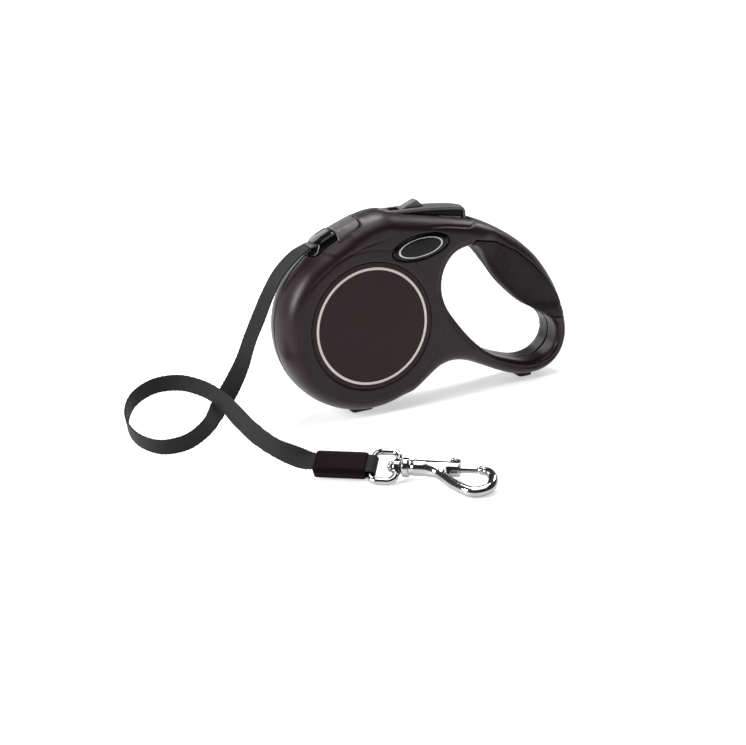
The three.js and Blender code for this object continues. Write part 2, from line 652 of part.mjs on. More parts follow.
place(leash, "brake_button", brakeButton(), MATERIAL.button);
place(leash, "brake_lever", brakeLever(), MATERIAL.inner);
place(leash, "lock_slide", lockSlide(), MATERIAL.button);
place(leash, "hinge_pin", hingePin(), MATERIAL.steel);
place(leash, "brake_spring", brakeSpring(), MATERIAL.steel);

place(leash, "leash_tape", ribbon(TAPE_ROUTE, TAPE.width, TAPE.thickness, 76), MATERIAL.tape);

const fitting = new THREE.Group();
fitting.position.set(FITTING.x, FITTING.y, FITTING.z);
fitting.rotation.z = THREE.MathUtils.degToRad(FITTING.yaw);
leash.add(fitting);

const eyeFrame = new THREE.Group();
eyeFrame.rotation.x = THREE.MathUtils.degToRad(FITTING.eyeRoll);
fitting.add(eyeFrame);
place(eyeFrame, "tape_sleeve", tapeSleeve(), MATERIAL.sleeve);
place(eyeFrame, "tape_loop", tapeLoop(), MATERIAL.tape);
place(eyeFrame, "swivel_eye", swivelEye(), MATERIAL.chrome);

const hookFrame = new THREE.Group();
hookFrame.rotation.x = THREE.MathUtils.degToRad(FITTING.hookRoll);
fitting.add(hookFrame);
place(hookFrame, "swivel_pin", swivelPin(), MATERIAL.chrome);
place(hookFrame, "hook_body", hookBody(), MATERIAL.chrome);
place(hookFrame, "snap_bolt", snapBolt(), MATERIAL.chrome);
place(hookFrame, "bolt_spring", boltSpring(), MATERIAL.steel);

export default leash;
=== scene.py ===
"""Looks of the retractable tape leash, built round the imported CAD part.

Smooth moulded and cast pieces are described by fields: functions of x, y, z in millimetres that are
negative inside the piece. skin() meshes the surface where a field is zero. The mesh code turns
millimetres into metres, the unit of the CAD frame, when it makes an object.
"""

import math

import bpy
import numpy as np
from mathutils import Matrix, Vector


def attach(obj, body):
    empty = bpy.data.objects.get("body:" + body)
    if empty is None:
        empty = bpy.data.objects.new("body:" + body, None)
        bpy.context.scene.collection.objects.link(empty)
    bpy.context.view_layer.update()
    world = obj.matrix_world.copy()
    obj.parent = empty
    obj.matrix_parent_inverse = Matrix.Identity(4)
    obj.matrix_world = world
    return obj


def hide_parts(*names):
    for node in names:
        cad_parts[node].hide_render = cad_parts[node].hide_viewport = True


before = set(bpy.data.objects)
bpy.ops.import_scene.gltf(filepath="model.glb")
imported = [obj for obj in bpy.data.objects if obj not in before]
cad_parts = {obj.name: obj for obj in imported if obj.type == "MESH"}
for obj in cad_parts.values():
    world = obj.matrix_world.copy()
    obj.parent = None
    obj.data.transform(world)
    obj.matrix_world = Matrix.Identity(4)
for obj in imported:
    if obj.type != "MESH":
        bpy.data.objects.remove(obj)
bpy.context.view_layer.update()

# ---------------- dimensions, millimetres
MM = 0.001
GAP = 0.15  # half of the clearance between two pieces
DRUM_Z = 48.4
DRUM_RADIUS = 47.4
HALF_WIDTH = 15.7
RIM = 8.9  # how far the rounded rim reaches in from the outline
TAPER = (46, 84, 0.82)  # the hand loop narrows between these x to this share of the width
LABEL = {"radius": 33.2, "face": 15.55, "thickness": 0.85, "ring": 30.0, "line": 1.3}
BADGE = {"x": 29.5, "z": 85.2, "a": 16, "b": 6.3, "tilt": 6, "low": 14.95, "dome": 1.75}
BADGE |= {"line_x": 29.0, "line_a": 12.0, "line_b": 4.6}  # the printed outline
TAPE = {"width": 10, "thickness": 0.95}
SCREWS = {
    "screw_crown": (6.5, 96.8),
    "screw_handle_top": (70.5, 86.2),
    "screw_handle_end": (114.4, 21.5),
    "screw_arm": (43.2, 22.4),
}
SCREW_HEAD = 2.65
FEET = {"front_foot": (-3.5, 12, 2.7), "rear_foot": (94, 8, 4.7)}  # middle x, length and top
FOOT_HALF_WIDTH = 4.7
PLAY = 0.2  # clearance round a piece that is let into the casing
CAP_HALF_WIDTH = 10.2
GUIDE_HALF_WIDTH = 8.55
NOSE_HALF_WIDTH = 8.4
FITTING = {"at": (-23.4, -99.8, 6.2), "yaw": -39, "eye_roll": 30, "hook_roll": 13}

# Camera of the main view.
AZIMUTH = -23.2995
ELEVATION = 18.8317
ROLL = 3.8
EYE = (-288.752, -682.521, 271.806)
LENS = 72.39

LOOP_OUTLINE = [
    (-16, 78), (-4, 30), (12, 10), (22, 6.5), (32, 11.8), (40, 16.2), (47.5, 17.8), (56, 16.4),
    (67, 11.5), (77, 6.5), (86, 3), (94, 1.8), (102, 2.4), (109.5, 5.7), (115, 11.7), (118, 19.5),
    (118.4, 27), (117, 36), (113, 48), (107, 59.5), (100, 69), (90, 78.4), (80, 85.3), (71, 90.3),
    (62, 94), (50, 97.2), (36, 100.2), (22, 103), (12, 104.8), (1, 102.9), (-8, 99), (-20, 89),
]
HAND_HOLE = [
    (41.6, 60), (43.6, 51), (49.5, 41), (60, 27.8), (71, 18.6), (83, 13), (94, 10.2), (103.5, 11.8),
    (109.6, 17.5), (110.8, 26.5), (106.5, 33.5), (99, 39.5), (90, 47.5), (81, 57.5), (74.5, 67.5),
    (69.5, 75), (65, 78.8), (58, 80), (49.5, 77.5), (43.5, 70),
]
GRIP_REGION = [
    (58, 78), (78, 45), (96, 30), (104, 32.4), (111, 32.6), (124, 30.5), (124, 34.5), (115, 37.6),
    (110.2, 45.5), (103.6, 55.6), (95.4, 65.2), (86, 73.6), (75, 79.8), (62, 83.2),
]
GRIP_BACK = 1.9  # the grip's inner edge bulges this far into the hand hole
GRIP_NOSE = (5, 0.72)  # half thickness of the grip at its inner edge, and how fast it grows outwards
GRIP_FADE = 14  # what is added to that half thickness beyond the grip's ends
STEP_RING = {"radius": 39.7, "width": 0.5, "depth": 0.22}  # moulded line round the label
LIP_LINE = {"inset": 3.1, "width": 0.5, "depth": 0.35}  # moulded line round the hand hole
NOSE_OUTLINE = [
    (-10, 80), (-23.6, 87), (-26.3, 88.7), (-26.2, 91.1), (-23.7, 93.6), (-20.1, 95.7), (-15, 98),
    (-8, 99.9), (0.3, 102), (6, 101), (6, 88),
]
CAP_REGION = [
    (-12.9, 106), (-12.9, 92.2), (-7.5, 94.2), (-4.3, 96), (-2, 97.6), (-0.6, 100.4), (0.2, 106),
]
GUIDE_REGION = [(-13.3, 106), (-13.3, 92), (-17.5, 90.1), (-25, 87.5), (-34, 86), (-34, 106)]
BUTTON_WELL = [
    (12.8, 112), (12.8, 100.6), (13.4, 93.8), (28, 92.4), (43, 88.4), (61, 88.4), (63.4, 89.5),
    (63.4, 112),
]
SHOULDER_CREASE = [
    (-41, 63), (-37.2, 68.6), (-30.3, 74.8), (-21.4, 81), (-11.6, 86.6), (-2, 89.9), (9, 92), (18, 93),
]
CROWN_CREASE = [(32, 94.2), (38.7, 93.9), (43.8, 93.4), (50.6, 92.2), (58.5, 90.4)]
CROWN_TICK = [(58.5, 90.4), (61.5, 90.9), (64, 92.4), (66, 94.4)]
BUTTON_TOP = [
    (60.7, 95.4), (60.6, 98.8), (59.6, 100.4), (57, 101.2), (48, 102.5), (36, 103.6), (24, 104.1),
    (17, 104.2), (13.2, 104.1),
]
BUTTON_UNDER = [(14.2, 101), (22, 98.6), (45, 96.6), (58, 93.9), (60.7, 93.9)]
HOOK_BEND = [
    (11, -1.4), (15.9, -4.4), (25, -12.4), (34.2, -16.6), (40.2, -13), (40.8, -6.3), (38, -1.4), (34, 0),
]

# Middle line of the free tape and the direction of its width at each point.
TAPE_ROUTE = [
    (-26.1, 0, 91.4, 0, 1, 0), (-33, 1, 87.5, 0.05, 0.97, 0.23), (-41, 3.2, 79.4, -0.03, 0.95, 0.31),
    (-46.5, 6.5, 68.8, -0.14, 0.92, 0.36), (-51, 10, 57.3, -0.24, 0.9, 0.37),
    (-56, 13.8, 44.4, -0.25, 0.9, 0.35), (-60.3, 17.3, 31.2, -0.42, 0.84, 0.35),
    (-67.3, 17.7, 19.6, -0.67, 0.57, 0.47), (-78, 8.3, 13.3, -0.55, 0.21, 0.81),
    (-89.5, -5.4, 9.6, -0.22, -0.08, 0.97), (-102, -11.2, 6.5, -0.14, -0.25, 0.96),
    (-114.4, -7.8, 5.6, -0.15, -0.35, 0.92), (-122.8, 3, 8.4, -0.16, -0.36, 0.92),
    (-123.8, 16.5, 13.6, -0.17, -0.34, 0.92), (-116.5, 28.6, 19.3, -0.17, -0.33, 0.93),
    (-104, 33.1, 23, -0.15, -0.3, 0.94), (-91.5, 28.8, 23.8, -0.08, -0.2, 0.97),
    (-82.5, 16.8, 22.3, 0.02, -0.13, 0.99), (-78.2, 1.5, 20.1, 0.19, -0.11, 0.98),
    (-77, -19.8, 17.3, 0.4, -0.09, 0.91), (-75.6, -40.7, 14.7, 0.36, -0.07, 0.93),
    (-71.3, -57.9, 12, 0.2, -0.06, 0.98), (-66.4, -65, 10, 0.36, 0.14, 0.9),
    (-61.8, -70, 8.3, 0.52, 0.55, 0.65), (-59.5, -71.9, 7.95, 0.545, 0.673, 0.5),
    (-58.6, -72.63, 7.9, 0.545, 0.673, 0.5),
]


# ---------------- curves and fields
def spline(points, per_span, closed=False):
    """Centripetal Catmull-Rom curve through the points."""
    p = np.array(points, float)
    if closed:
        p = np.vstack([p[-1], p, p[0], p[1]])
    else:
        p = np.vstack([2 * p[0] - p[1], p, 2 * p[-1] - p[-2]])
    made = []
    for a, b, c, d in zip(p[:-3], p[1:-2], p[2:-1], p[3:]):
        # The first three coordinates set the spacing of the knots.
        t1 = np.linalg.norm((b - a)[:3]) ** 0.5
        t2 = t1 + np.linalg.norm((c - b)[:3]) ** 0.5
        t3 = t2 + np.linalg.norm((d - c)[:3]) ** 0.5
        t = np.linspace(t1, t2, per_span, endpoint=False)[:, None]
        ab = (t1 - t) / t1 * a + t / t1 * b
        bc = (t2 - t) / (t2 - t1) * b + (t - t1) / (t2 - t1) * c
        cd = (t3 - t) / (t3 - t2) * c + (t - t2) / (t3 - t2) * d
        abc = (t2 - t) / t2 * ab + t / t2 * bc
        bcd = (t3 - t) / (t3 - t1) * bc + (t - t1) / (t3 - t1) * cd
        made.append((t2 - t) / (t2 - t1) * abc + (t - t1) / (t2 - t1) * bcd)
    if not closed:
        made.append(p[-2][None])
    return np.vstack(made)


def smooth_step(low, high, x):
    t = np.clip((x - low) / (high - low), 0, 1)
    return t * t * (3 - 2 * t)


def meet(a, b, soft):
    """What two fields share, with its edge rounded."""
    h = np.clip(1 - np.abs(a - b) / soft, 0, 1)
    return np.maximum(a, b) + h * h * soft / 4


def join(a, b, soft):
    """Two fields as one, with a fillet between them."""
    return -meet(-a, -b, soft)


def cut(a, b, soft):
    """The first field without the second."""
    return meet(a, -b, soft)


class Flat:
    """Distance to a line of points in a plane, looked up in a table. It is negative in a closed line."""

    STEP = 0.5

    def __init__(self, points, closed=True, reach=24):
        p = np.array(points, float)
        self.low = p.min(0) - reach
        count = np.ceil((p.max(0) + reach - self.low) / self.STEP).astype(int) + 1
        u = self.low[0] + self.STEP * np.arange(count[0])[:, None]
        v = self.low[1] + self.STEP * np.arange(count[1])[None, :]
        best = np.full(count, 1e9)
        inside = np.zeros(count, bool)
        ends = np.roll(p, -1, 0) if closed else p[1:]
        for (ax, ay), (bx, by) in zip(p, ends):
            dx, dy = bx - ax, by - ay
            t = np.clip(((u - ax) * dx + (v - ay) * dy) / (dx * dx + dy * dy + 1e-12), 0, 1)
            best = np.minimum(best, (u - ax - t * dx) ** 2 + (v - ay - t * dy) ** 2)
            if closed and ay != by:
                inside ^= ((ay > v) != (by > v)) & (u < (v - ay) / dy * dx + ax)
        self.table = np.where(inside, -1, 1) * np.sqrt(best)

    def __call__(self, x, z):
        u, v = np.broadcast_arrays((x - self.low[0]) / self.STEP, (z - self.low[1]) / self.STEP)
        u = np.clip(u, 0, self.table.shape[0] - 1.001)
        v = np.clip(v, 0, self.table.shape[1] - 1.001)
        i, j = u.astype(int), v.astype(int)
        a, b = u - i, v - j
        t = self.table
        low = t[i, j] * (1 - a) + t[i + 1, j] * a
        high = t[i, j + 1] * (1 - a) + t[i + 1, j + 1] * a
        return low * (1 - b) + high * b


def round_rectangle(x, y, half_x, half_y, radius):
    """Distance to a rectangle about the origin, with rounded corners."""
    dx, dy = np.abs(x) - half_x + radius, np.abs(y) - half_y + radius
    return np.hypot(np.maximum(dx, 0), np.maximum(dy, 0)) + np.minimum(np.maximum(dx, dy), 0) - radius


def round_box(x, y, z, half, radius):
    """Box about the origin, with rounded edges."""
    d = [np.abs(v) - h + radius for v, h in zip((x, y, z), half)]
    outside = np.sqrt(sum(np.maximum(v, 0) ** 2 for v in d))
    return outside + np.minimum(np.maximum(np.maximum(d[0], d[1]), d[2]), 0) - radius


def plate(flat, thick, radius):
    """A flat shape's distance and a distance through its thickness as one solid with rounded edges."""
    a, b = flat + radius, thick + radius
    return np.hypot(np.maximum(a, 0), np.maximum(b, 0)) + np.minimum(np.maximum(a, b), 0) - radius


def rod(x, y, z, a, b, ra, rb):
    """Round rod between two points, with a radius at each end."""
    a, b = np.array(a, float), np.array(b, float)
    d = b - a
    t = np.clip(((x - a[0]) * d[0] + (y - a[1]) * d[1] + (z - a[2]) * d[2]) / (d @ d), 0, 1)
    gap = np.sqrt((x - a[0] - t * d[0]) ** 2 + (y - a[1] - t * d[1]) ** 2 + (z - a[2] - t * d[2]) ** 2)
    return gap - (ra + (rb - ra) * t)


# ---------------- meshes
def surface_cells(values, step, low):
    """Vertices and quads where a grid of values changes sign."""
    inside = values < 0
    corners = [(i, j, k) for i in (0, 1) for j in (0, 1) for k in (0, 1)]
    count = sum(
        inside[i : i - 1 or None, j : j - 1 or None, k : k - 1 or None].astype(np.int8)
        for i, j, k in corners
    )
    cells = np.argwhere((count > 0) & (count < 8))
    held = {c: values[cells[:, 0] + c[0], cells[:, 1] + c[1], cells[:, 2] + c[2]] for c in corners}
    total = np.zeros((len(cells), 3))
    hits = np.zeros(len(cells))
    for c in corners:
        for axis in range(3):
            if c[axis]:
                continue
            e = tuple(1 if n == axis else v for n, v in enumerate(c))
            a, b = held[c], held[e]
            crossed = (a < 0) != (b < 0)
            t = np.where(crossed, a / np.where(crossed, a - b, 1), 0)
            point = np.array(c, float) + np.zeros((len(cells), 1))
            point[:, axis] += t
            total += point * crossed[:, None]
            hits += crossed
    points = low + step * (cells + total / hits[:, None])
    number = np.full([n - 1 for n in values.shape], -1, np.int32)
    number[tuple(cells.T)] = np.arange(len(cells))
    quads = []
    for axis in range(3):
        u, v = (axis + 1) % 3, (axis + 2) % 3
        near = inside.take(range(0, inside.shape[axis] - 1), axis)
        far = inside.take(range(1, inside.shape[axis]), axis)
        edge = np.argwhere(near != far)
        edge = edge[(edge[:, u] > 0) & (edge[:, v] > 0)]
        edge = edge[(edge[:, u] < number.shape[u]) & (edge[:, v] < number.shape[v])]
        ring = []
        for du, dv in ((0, 0), (1, 0), (1, 1), (0, 1)):
            cell = edge.copy()
            cell[:, u] -= du
            cell[:, v] -= dv
            ring.append(number[tuple(cell.T)])
        quad = np.stack(ring, 1)
        flip = ~near[tuple(edge.T)]
        quad[flip] = quad[flip][:, ::-1]
        quads.append(quad)
    return points, np.vstack(quads)


def settle(points, field, rounds=2):
    """Moves points onto the zero of the field."""
    e = 0.04
    for _ in range(rounds):
        x, y, z = points.T
        slope = np.stack([
            field(x + e, y, z) - field(x - e, y, z),
            field(x, y + e, z) - field(x, y - e, z),
            field(x, y, z + e) - field(x, y, z - e),
        ], 1) / (2 * e)
        size = np.maximum((slope ** 2).sum(1), 0.2)
        shift = slope * (field(x, y, z) / size)[:, None]
        points = points - np.clip(shift, -0.2, 0.2)
    return points


def mesh_object(name, points, faces, smooth=True):
    """A mesh object from points in millimetres and faces that all have the same number of corners."""
    faces = np.asarray(faces, np.int32)
    corners = faces.shape[1]
    data = bpy.data.meshes.new(name)
    data.vertices.add(len(points))
    data.vertices.foreach_set("co", (np.asarray(points) * MM).astype(np.float32).ravel())
    data.loops.add(faces.size)
    data.loops.foreach_set("vertex_index", faces.ravel())
    data.polygons.add(len(faces))
    data.polygons.foreach_set("loop_start", np.arange(0, faces.size, corners, dtype=np.int32))
    data.update(calc_edges=True)
    data.validate()
    data.polygons.foreach_set("use_smooth", np.full(len(data.polygons), smooth))
    made = bpy.data.objects.new(name, data)
    bpy.context.scene.collection.objects.link(made)
    return made


def skin(name, field, low, high, step, place=None):
    """Object whose surface is the zero of the field inside a box."""
    low, high = np.array(low, float), np.array(high, float)
    axes = [np.arange(a, b + step, step) for a, b in zip(low, high)]
    values = field(axes[0][:, None, None], axes[1][None, :, None], axes[2][None, None, :])
    values = np.broadcast_to(values, [len(a) for a in axes]).copy()
    points, quads = surface_cells(values, step, low)
    points = settle(points, field)
    if place is not None:
        points = points @ np.array(place.to_3x3()).T + np.array(place.translation)
    return mesh_object(name, points, quads)


def turned(name, profile, count, place):
    """Object turned about local X from (x, radius) pairs that start and end on the axis."""
    angle = np.linspace(0, 2 * np.pi, count, endpoint=False)
    inner = np.array(profile[1:-1], float)
    rows = [np.stack([np.full(count, x), r * np.cos(angle), r * np.sin(angle)], 1) for x, r in inner]
    points = np.vstack([*rows, [(profile[0][0], 0, 0)], [(profile[-1][0], 0, 0)]])
    faces = []
    for i in range(len(inner) - 1):
        for k in range(count):
            a, b = i * count + k, i * count + (k + 1) % count
            faces += [(a, b, b + count), (a, b + count, a + count)]
    first, last = len(points) - 2, len(points) - 1
    base = (len(inner) - 1) * count
    for k in range(count):
        faces.append((first, (k + 1) % count, k))
        faces.append((last, base + k, base + (k + 1) % count))
    points = points @ np.array(place.to_3x3()).T + np.array(place.translation)
    return mesh_object(name, points, faces)


def bevelled(profile, radius, steps=4):
    """The (x, radius) profile with its corners rounded."""
    p = np.array(profile, float)
    made = [p[0]]
    for a, b, c in zip(p[:-2], p[1:-1], p[2:]):
        before, after = a - b, c - b
        reach = min(radius, 0.45 * np.linalg.norm(before), 0.45 * np.linalg.norm(after))
        start = b + before / np.linalg.norm(before) * reach
        end = b + after / np.linalg.norm(after) * reach
        for t in np.linspace(0, 1, steps + 1):
            made.append((1 - t) ** 2 * start + 2 * t * (1 - t) * b + t * t * end)
    made.append(p[-1])
    return made


def band(name, middle, across, width, thickness, wave=0.0, period=1.6):
    """Woven band along a line: a rounded flat section whose edges ripple a little, with a UV map in
    millimetres along and across."""
    middle, across = np.array(middle, float), np.array(across, float)
    along = np.gradient(middle, axis=0)
    along /= np.linalg.norm(along, axis=1)[:, None]
    across = across - (across * along).sum(1)[:, None] * along
    across /= np.linalg.norm(across, axis=1)[:, None]
    normal = np.cross(along, across)
    run = np.concatenate([[0], np.cumsum(np.linalg.norm(np.diff(middle, axis=0), axis=1))])
    # Half of the section from edge to edge, as shares of the half width and half thickness.
    half = [
        (-1, 0.0), (-0.985, 0.62), (-0.95, 0.95), (-0.88, 1.0), (-0.8, 0.86), (-0.45, 0.9), (0, 0.92),
    ]
    upper = half + [(-a, b) for a, b in half[-2::-1]]
    section = upper + [(a, -b) for a, b in upper[-2:0:-1]]
    count = len(section)
    rows = []
    for n, s in enumerate(run):
        ripple = wave * abs(math.sin(math.pi * s / period))
        for a, b in section:
            grow = width / 2 - ripple * (abs(a) > 0.9)
            rows.append(middle[n] + across[n] * a * grow + normal[n] * b * thickness / 2)
    faces = []
    for i in range(len(run) - 1):
        for k in range(count):
            a, b = i * count + k, i * count + (k + 1) % count
            faces.append((a, b, b + count, a + count))
    # The ends are closed by quads between the upper and the lower half of the section.
    last = (len(run) - 1) * count
    for k in range(count // 2):
        lower = (count - k) % count, (count - k - 1) % count
        faces.append((lower[0], lower[1], k + 1, k))
        faces.append((last + k, last + k + 1, last + lower[1], last + lower[0]))
    made = mesh_object(name, rows, faces)
    layer = made.data.uv_layers.new(name="band")
    sideways = np.array([a for a, _ in section]) * width / 2
    vertex = np.zeros(len(made.data.loops), np.int32)
    made.data.loops.foreach_get("vertex_index", vertex)
    uv = np.stack([run[vertex // count], sideways[vertex % count]], 1)
    layer.data.foreach_set("uv", uv.astype(np.float32).ravel())
    return made


# ---------------- materials
class Shade:
    """A procedural material under construction."""

    def __init__(self, name, color, roughness, **sockets):
        self.material = bpy.data.materials.new(name)
        self.material.use_nodes = True
        self.tree = self.material.node_tree
        self.shader = self.tree.nodes["Principled BSDF"]
        self.shader.inputs["Base Color"].default_value = (*color, 1)
        self.shader.inputs["Roughness"].default_value = roughness
        for socket, value in sockets.items():
            self.shader.inputs[socket.replace("_", " ")].default_value = value

    def node(self, kind, inputs=(), **settings):
        made = self.tree.nodes.new(kind)
        for key, value in settings.items():
            setattr(made, key, value)
        for socket, value in dict(inputs).items():
            if isinstance(value, bpy.types.NodeSocket):
                self.tree.links.new(value, made.inputs[socket])
            else:
                made.inputs[socket].default_value = value
        return made

    def math(self, operation, a, b=0.0):
        return self.node("ShaderNodeMath", {0: a, 1: b}, operation=operation).outputs[0]

    def distance(self, a, b):
        """Square root of the sum of two squares."""
        return self.math("SQRT", self.math("ADD", self.math("MULTIPLY", a, a), self.math("MULTIPLY", b, b)))

    def place(self):
        """Position in the frame, in metres."""
        return self.node("ShaderNodeTexCoord").outputs["Object"]

    def noise(self, scale, detail=3.0, vector=None):
        inputs = {"Vector": vector or self.place(), "Scale": scale, "Detail": detail}
        return self.node("ShaderNodeTexNoise", inputs).outputs["Fac"]

    def spread(self, value, low, high, new_low, new_high):
        inputs = {"Value": value, "From Min": low, "From Max": high, "To Min": new_low, "To Max": new_high}
        return self.node("ShaderNodeMapRange", inputs).outputs["Result"]

    def mix(self, share, a, b):
        made = self.node("ShaderNodeMix", data_type="RGBA")
        for socket, value in ((0, share), (6, a), (7, b)):
            if isinstance(value, bpy.types.NodeSocket):
                self.tree.links.new(value, made.inputs[socket])
            else:
                made.inputs[socket].default_value = (*value, 1) if socket else value
        return made.outputs[2]

    def feed(self, socket, value):
        self.tree.links.new(value, self.shader.inputs[socket])

    def bump(self, height, strength, distance):
        inputs = {"Height": height, "Strength": strength, "Distance": distance}
        self.feed("Normal", self.node("ShaderNodeBump", inputs).outputs["Normal"])

    def wear(self, color, edge_color, amount):
        """Lightens the convex edges and varies the colour a little over the surface."""
        point = self.node("ShaderNodeNewGeometry").outputs["Pointiness"]
        edge = self.spread(point, 0.52, 0.62, 0, amount)
        cloud = self.spread(self.noise(60), 0.35, 0.65, 0, 1)
        darker = tuple(c * 0.86 for c in color)
        self.feed("Base Color", self.mix(edge, self.mix(cloud, color, darker), edge_color))
        return self


def moulded(name, color, roughness, grain=1.0, grain_size=2600, edge=(0.2, 0.19, 0.19), **sockets):
    """Moulded plastic: fine eroded grain, slightly uneven gloss, edges polished by handling."""
    shade = Shade(name, color, roughness, **sockets)
    shade.wear(color, edge, 0.25)
    fine = shade.noise(grain_size, 2)
    broad = shade.noise(90, 2)
    shade.feed("Roughness", shade.spread(broad, 0.3, 0.7, roughness - 0.02, roughness + 0.025))
    shade.bump(fine, 0.12 * grain, 0.00025)
    return shade


def metal(name, color, roughness, scratches=0.04):
    """Plated metal with a slightly uneven surface and hairline scratches."""
    shade = Shade(name, color, roughness, Metallic=1.0)
    stretched = shade.node("ShaderNodeMapping", {"Vector": shade.place(), "Scale": (400, 1600, 300)})
    hair = shade.noise(1.0, 4, stretched.outputs["Vector"])
    shade.feed("Roughness", shade.spread(hair, 0.35, 0.65, roughness, roughness + scratches))
    tint = tuple(c * 0.93 for c in color)
    shade.feed("Base Color", shade.mix(shade.spread(shade.noise(300), 0.4, 0.6, 0, 1), color, tint))
    shade.bump(shade.noise(260, 2), 0.05, 0.0004)
    return shade


RIB = 1.1  # millimetres from rib to rib along the webbing
LANE = 0.62  # width of one row of ribs, in millimetres


def woven(name, color, light):
    """Nylon webbing: ribs across the band in two offset rows, from the UV map in millimetres."""
    shade = Shade(name, color, 0.75, Specular_IOR_Level=0.18, Sheen_Weight=0.05, Sheen_Roughness=0.5)
    uv = shade.node("ShaderNodeUVMap", uv_map="band").outputs["UV"]
    split = shade.node("ShaderNodeSeparateXYZ", {"Vector": uv})
    u, v = split.outputs["X"], split.outputs["Y"]
    lane = shade.math("FLOOR", shade.math("DIVIDE", v, LANE))
    shift = shade.math("MULTIPLY", shade.math("MODULO", shade.math("ADD", lane, 100), 2), 0.5)
    turns = shade.math("ADD", shade.math("DIVIDE", u, RIB), shift)
    rib = shade.math("SINE", shade.math("MULTIPLY", turns, 2 * math.pi))
    warp = shade.math("ABSOLUTE", shade.math("SINE", shade.math("MULTIPLY", v, math.pi / LANE)))
    height = shade.math("MULTIPLY", shade.math("ADD", shade.math("MULTIPLY", rib, 0.5), 0.5), warp)
    thread = shade.noise(1500, 2)
    shade.feed("Base Color", shade.mix(shade.math("MULTIPLY", height, thread), color, light))
    shade.bump(shade.math("ADD", height, shade.math("MULTIPLY", thread, 0.3)), 0.55, 0.0003)
    return shade


def printed_label(name, color, silver):
    """Matt disc with a plain printed ring."""
    shade = Shade(name, color, 0.6, Specular_IOR_Level=0.27)
    split = shade.node("ShaderNodeSeparateXYZ", {"Vector": shade.place()})
    x = split.outputs["X"]
    z = shade.math("SUBTRACT", split.outputs["Z"], DRUM_Z * MM)
    radius = shade.distance(x, z)
    off = shade.math("ABSOLUTE", shade.math("SUBTRACT", radius, LABEL["ring"] * MM))
    half = LABEL["line"] / 2 * MM
    ring = shade.spread(off, half - 0.00008, half + 0.00008, 1, 0)
    print_on(shade, color, silver, ring, 0.62)
    return shade


def print_on(shade, color, silver, mask, roughness):
    """Silver ink where the mask is 1."""
    cloud = shade.spread(shade.noise(70), 0.35, 0.65, 0, 1)
    base = shade.mix(cloud, color, tuple(c * 0.9 for c in color))
    shade.feed("Base Color", shade.mix(mask, base, silver))
    shade.feed("Metallic", shade.math("MULTIPLY", mask, 0.55))
    shade.feed("Roughness", shade.spread(mask, 0, 1, roughness, 0.34))
    shade.bump(shade.noise(2400, 2), 0.06, 0.0002)


def printed_badge(name, color, silver):
    """Polished oval badge with a plain silver outline."""
    shade = Shade(name, color, 0.06, Specular_IOR_Level=0.14, Coat_Weight=0.08, Coat_Roughness=0.03)
    split = shade.node("ShaderNodeSeparateXYZ", {"Vector": shade.place()})
    x = shade.math("SUBTRACT", split.outputs["X"], BADGE["line_x"] * MM)
    z = shade.math("SUBTRACT", split.outputs["Z"], BADGE["z"] * MM)
    cos, sin = math.cos(math.radians(BADGE["tilt"])), math.sin(math.radians(BADGE["tilt"]))
    along = shade.math("ADD", shade.math("MULTIPLY", x, cos), shade.math("MULTIPLY", z, sin))
    up = shade.math("SUBTRACT", shade.math("MULTIPLY", z, cos), shade.math("MULTIPLY", x, sin))
    a = shade.math("DIVIDE", along, BADGE["line_a"] * MM)
    b = shade.math("DIVIDE", up, BADGE["line_b"] * MM)
    reach = shade.distance(a, b)
    off = shade.math("ABSOLUTE", shade.math("SUBTRACT", reach, 1.0))
    ring = shade.spread(off, 0.028, 0.05, 1, 0)
    print_on(shade, color, silver, ring, 0.08)
    return shade


CASING = moulded(
    "casing_plastic", (0.013, 0.0052, 0.0067), 0.36, edge=(0.05, 0.042, 0.044), Specular_IOR_Level=0.25
)
CAP = moulded("cap_plastic", (0.05, 0.045, 0.046), 0.4, Specular_IOR_Level=0.35)
BUTTON = moulded("button_plastic", (0.085, 0.078, 0.079), 0.38, grain=1.2)
# Near-black copy of the button's plastic for the skirt: painted shade for the dark gap under the button's
# plate.
SKIRT_PAINTED_SHADE = moulded(
    "button_skirt_painted_shade", (0.003, 0.002, 0.0025), 0.5, edge=(0.01, 0.009, 0.009), Specular_IOR_Level=0.15
)
GRIP = moulded(
    "grip_elastomer", (0.009, 0.004, 0.0055), 0.6, 1.8, 1900, (0.06, 0.05, 0.052), Specular_IOR_Level=0.2
)
GLOSS = moulded(
    "gloss_black", (0.0025, 0.0025, 0.003), 0.12, 0.15, edge=(0.02, 0.02, 0.02), Specular_IOR_Level=0.22
)
RUBBER = moulded("foot_rubber", (0.01, 0.01, 0.01), 0.8, 2.0, 1500)
SLEEVE = moulded(
    "sleeve_vinyl", (0.0055, 0.0018, 0.0027), 0.42, 1.0, 1200, (0.012, 0.007, 0.008),
    Specular_IOR_Level=0.03,
)
ACETAL = moulded("spool_plastic", (0.55, 0.54, 0.5), 0.45, grain=0.8)
LABEL_SHADE = printed_label("label_plastic", (0.0155, 0.006, 0.0075), (0.52, 0.485, 0.47))
BADGE_SHADE = printed_badge("badge_gloss", (0.002, 0.002, 0.002), (0.5, 0.5, 0.51))
CHROME = metal("chrome", (0.38, 0.38, 0.375), 0.06)
STEEL = metal("spring_steel", (0.42, 0.42, 0.43), 0.3, 0.12)
WEBBING = woven("webbing", (0.007, 0.006, 0.0065), (0.026, 0.0235, 0.0245))


def webbing_inside(name):
    """Webbing for the CAD nodes that have no UV map."""
    shade = Shade(name, (0.016, 0.015, 0.016), 0.8, Sheen_Weight=0.2)
    wave = shade.node("ShaderNodeTexWave", {"Vector": shade.place(), "Scale": 420, "Distortion": 1.5})
    shade.feed("Base Color", shade.mix(wave.outputs["Fac"], (0.012, 0.011, 0.012), (0.05, 0.048, 0.05)))
    shade.bump(wave.outputs["Fac"], 0.4, 0.0003)
    return shade


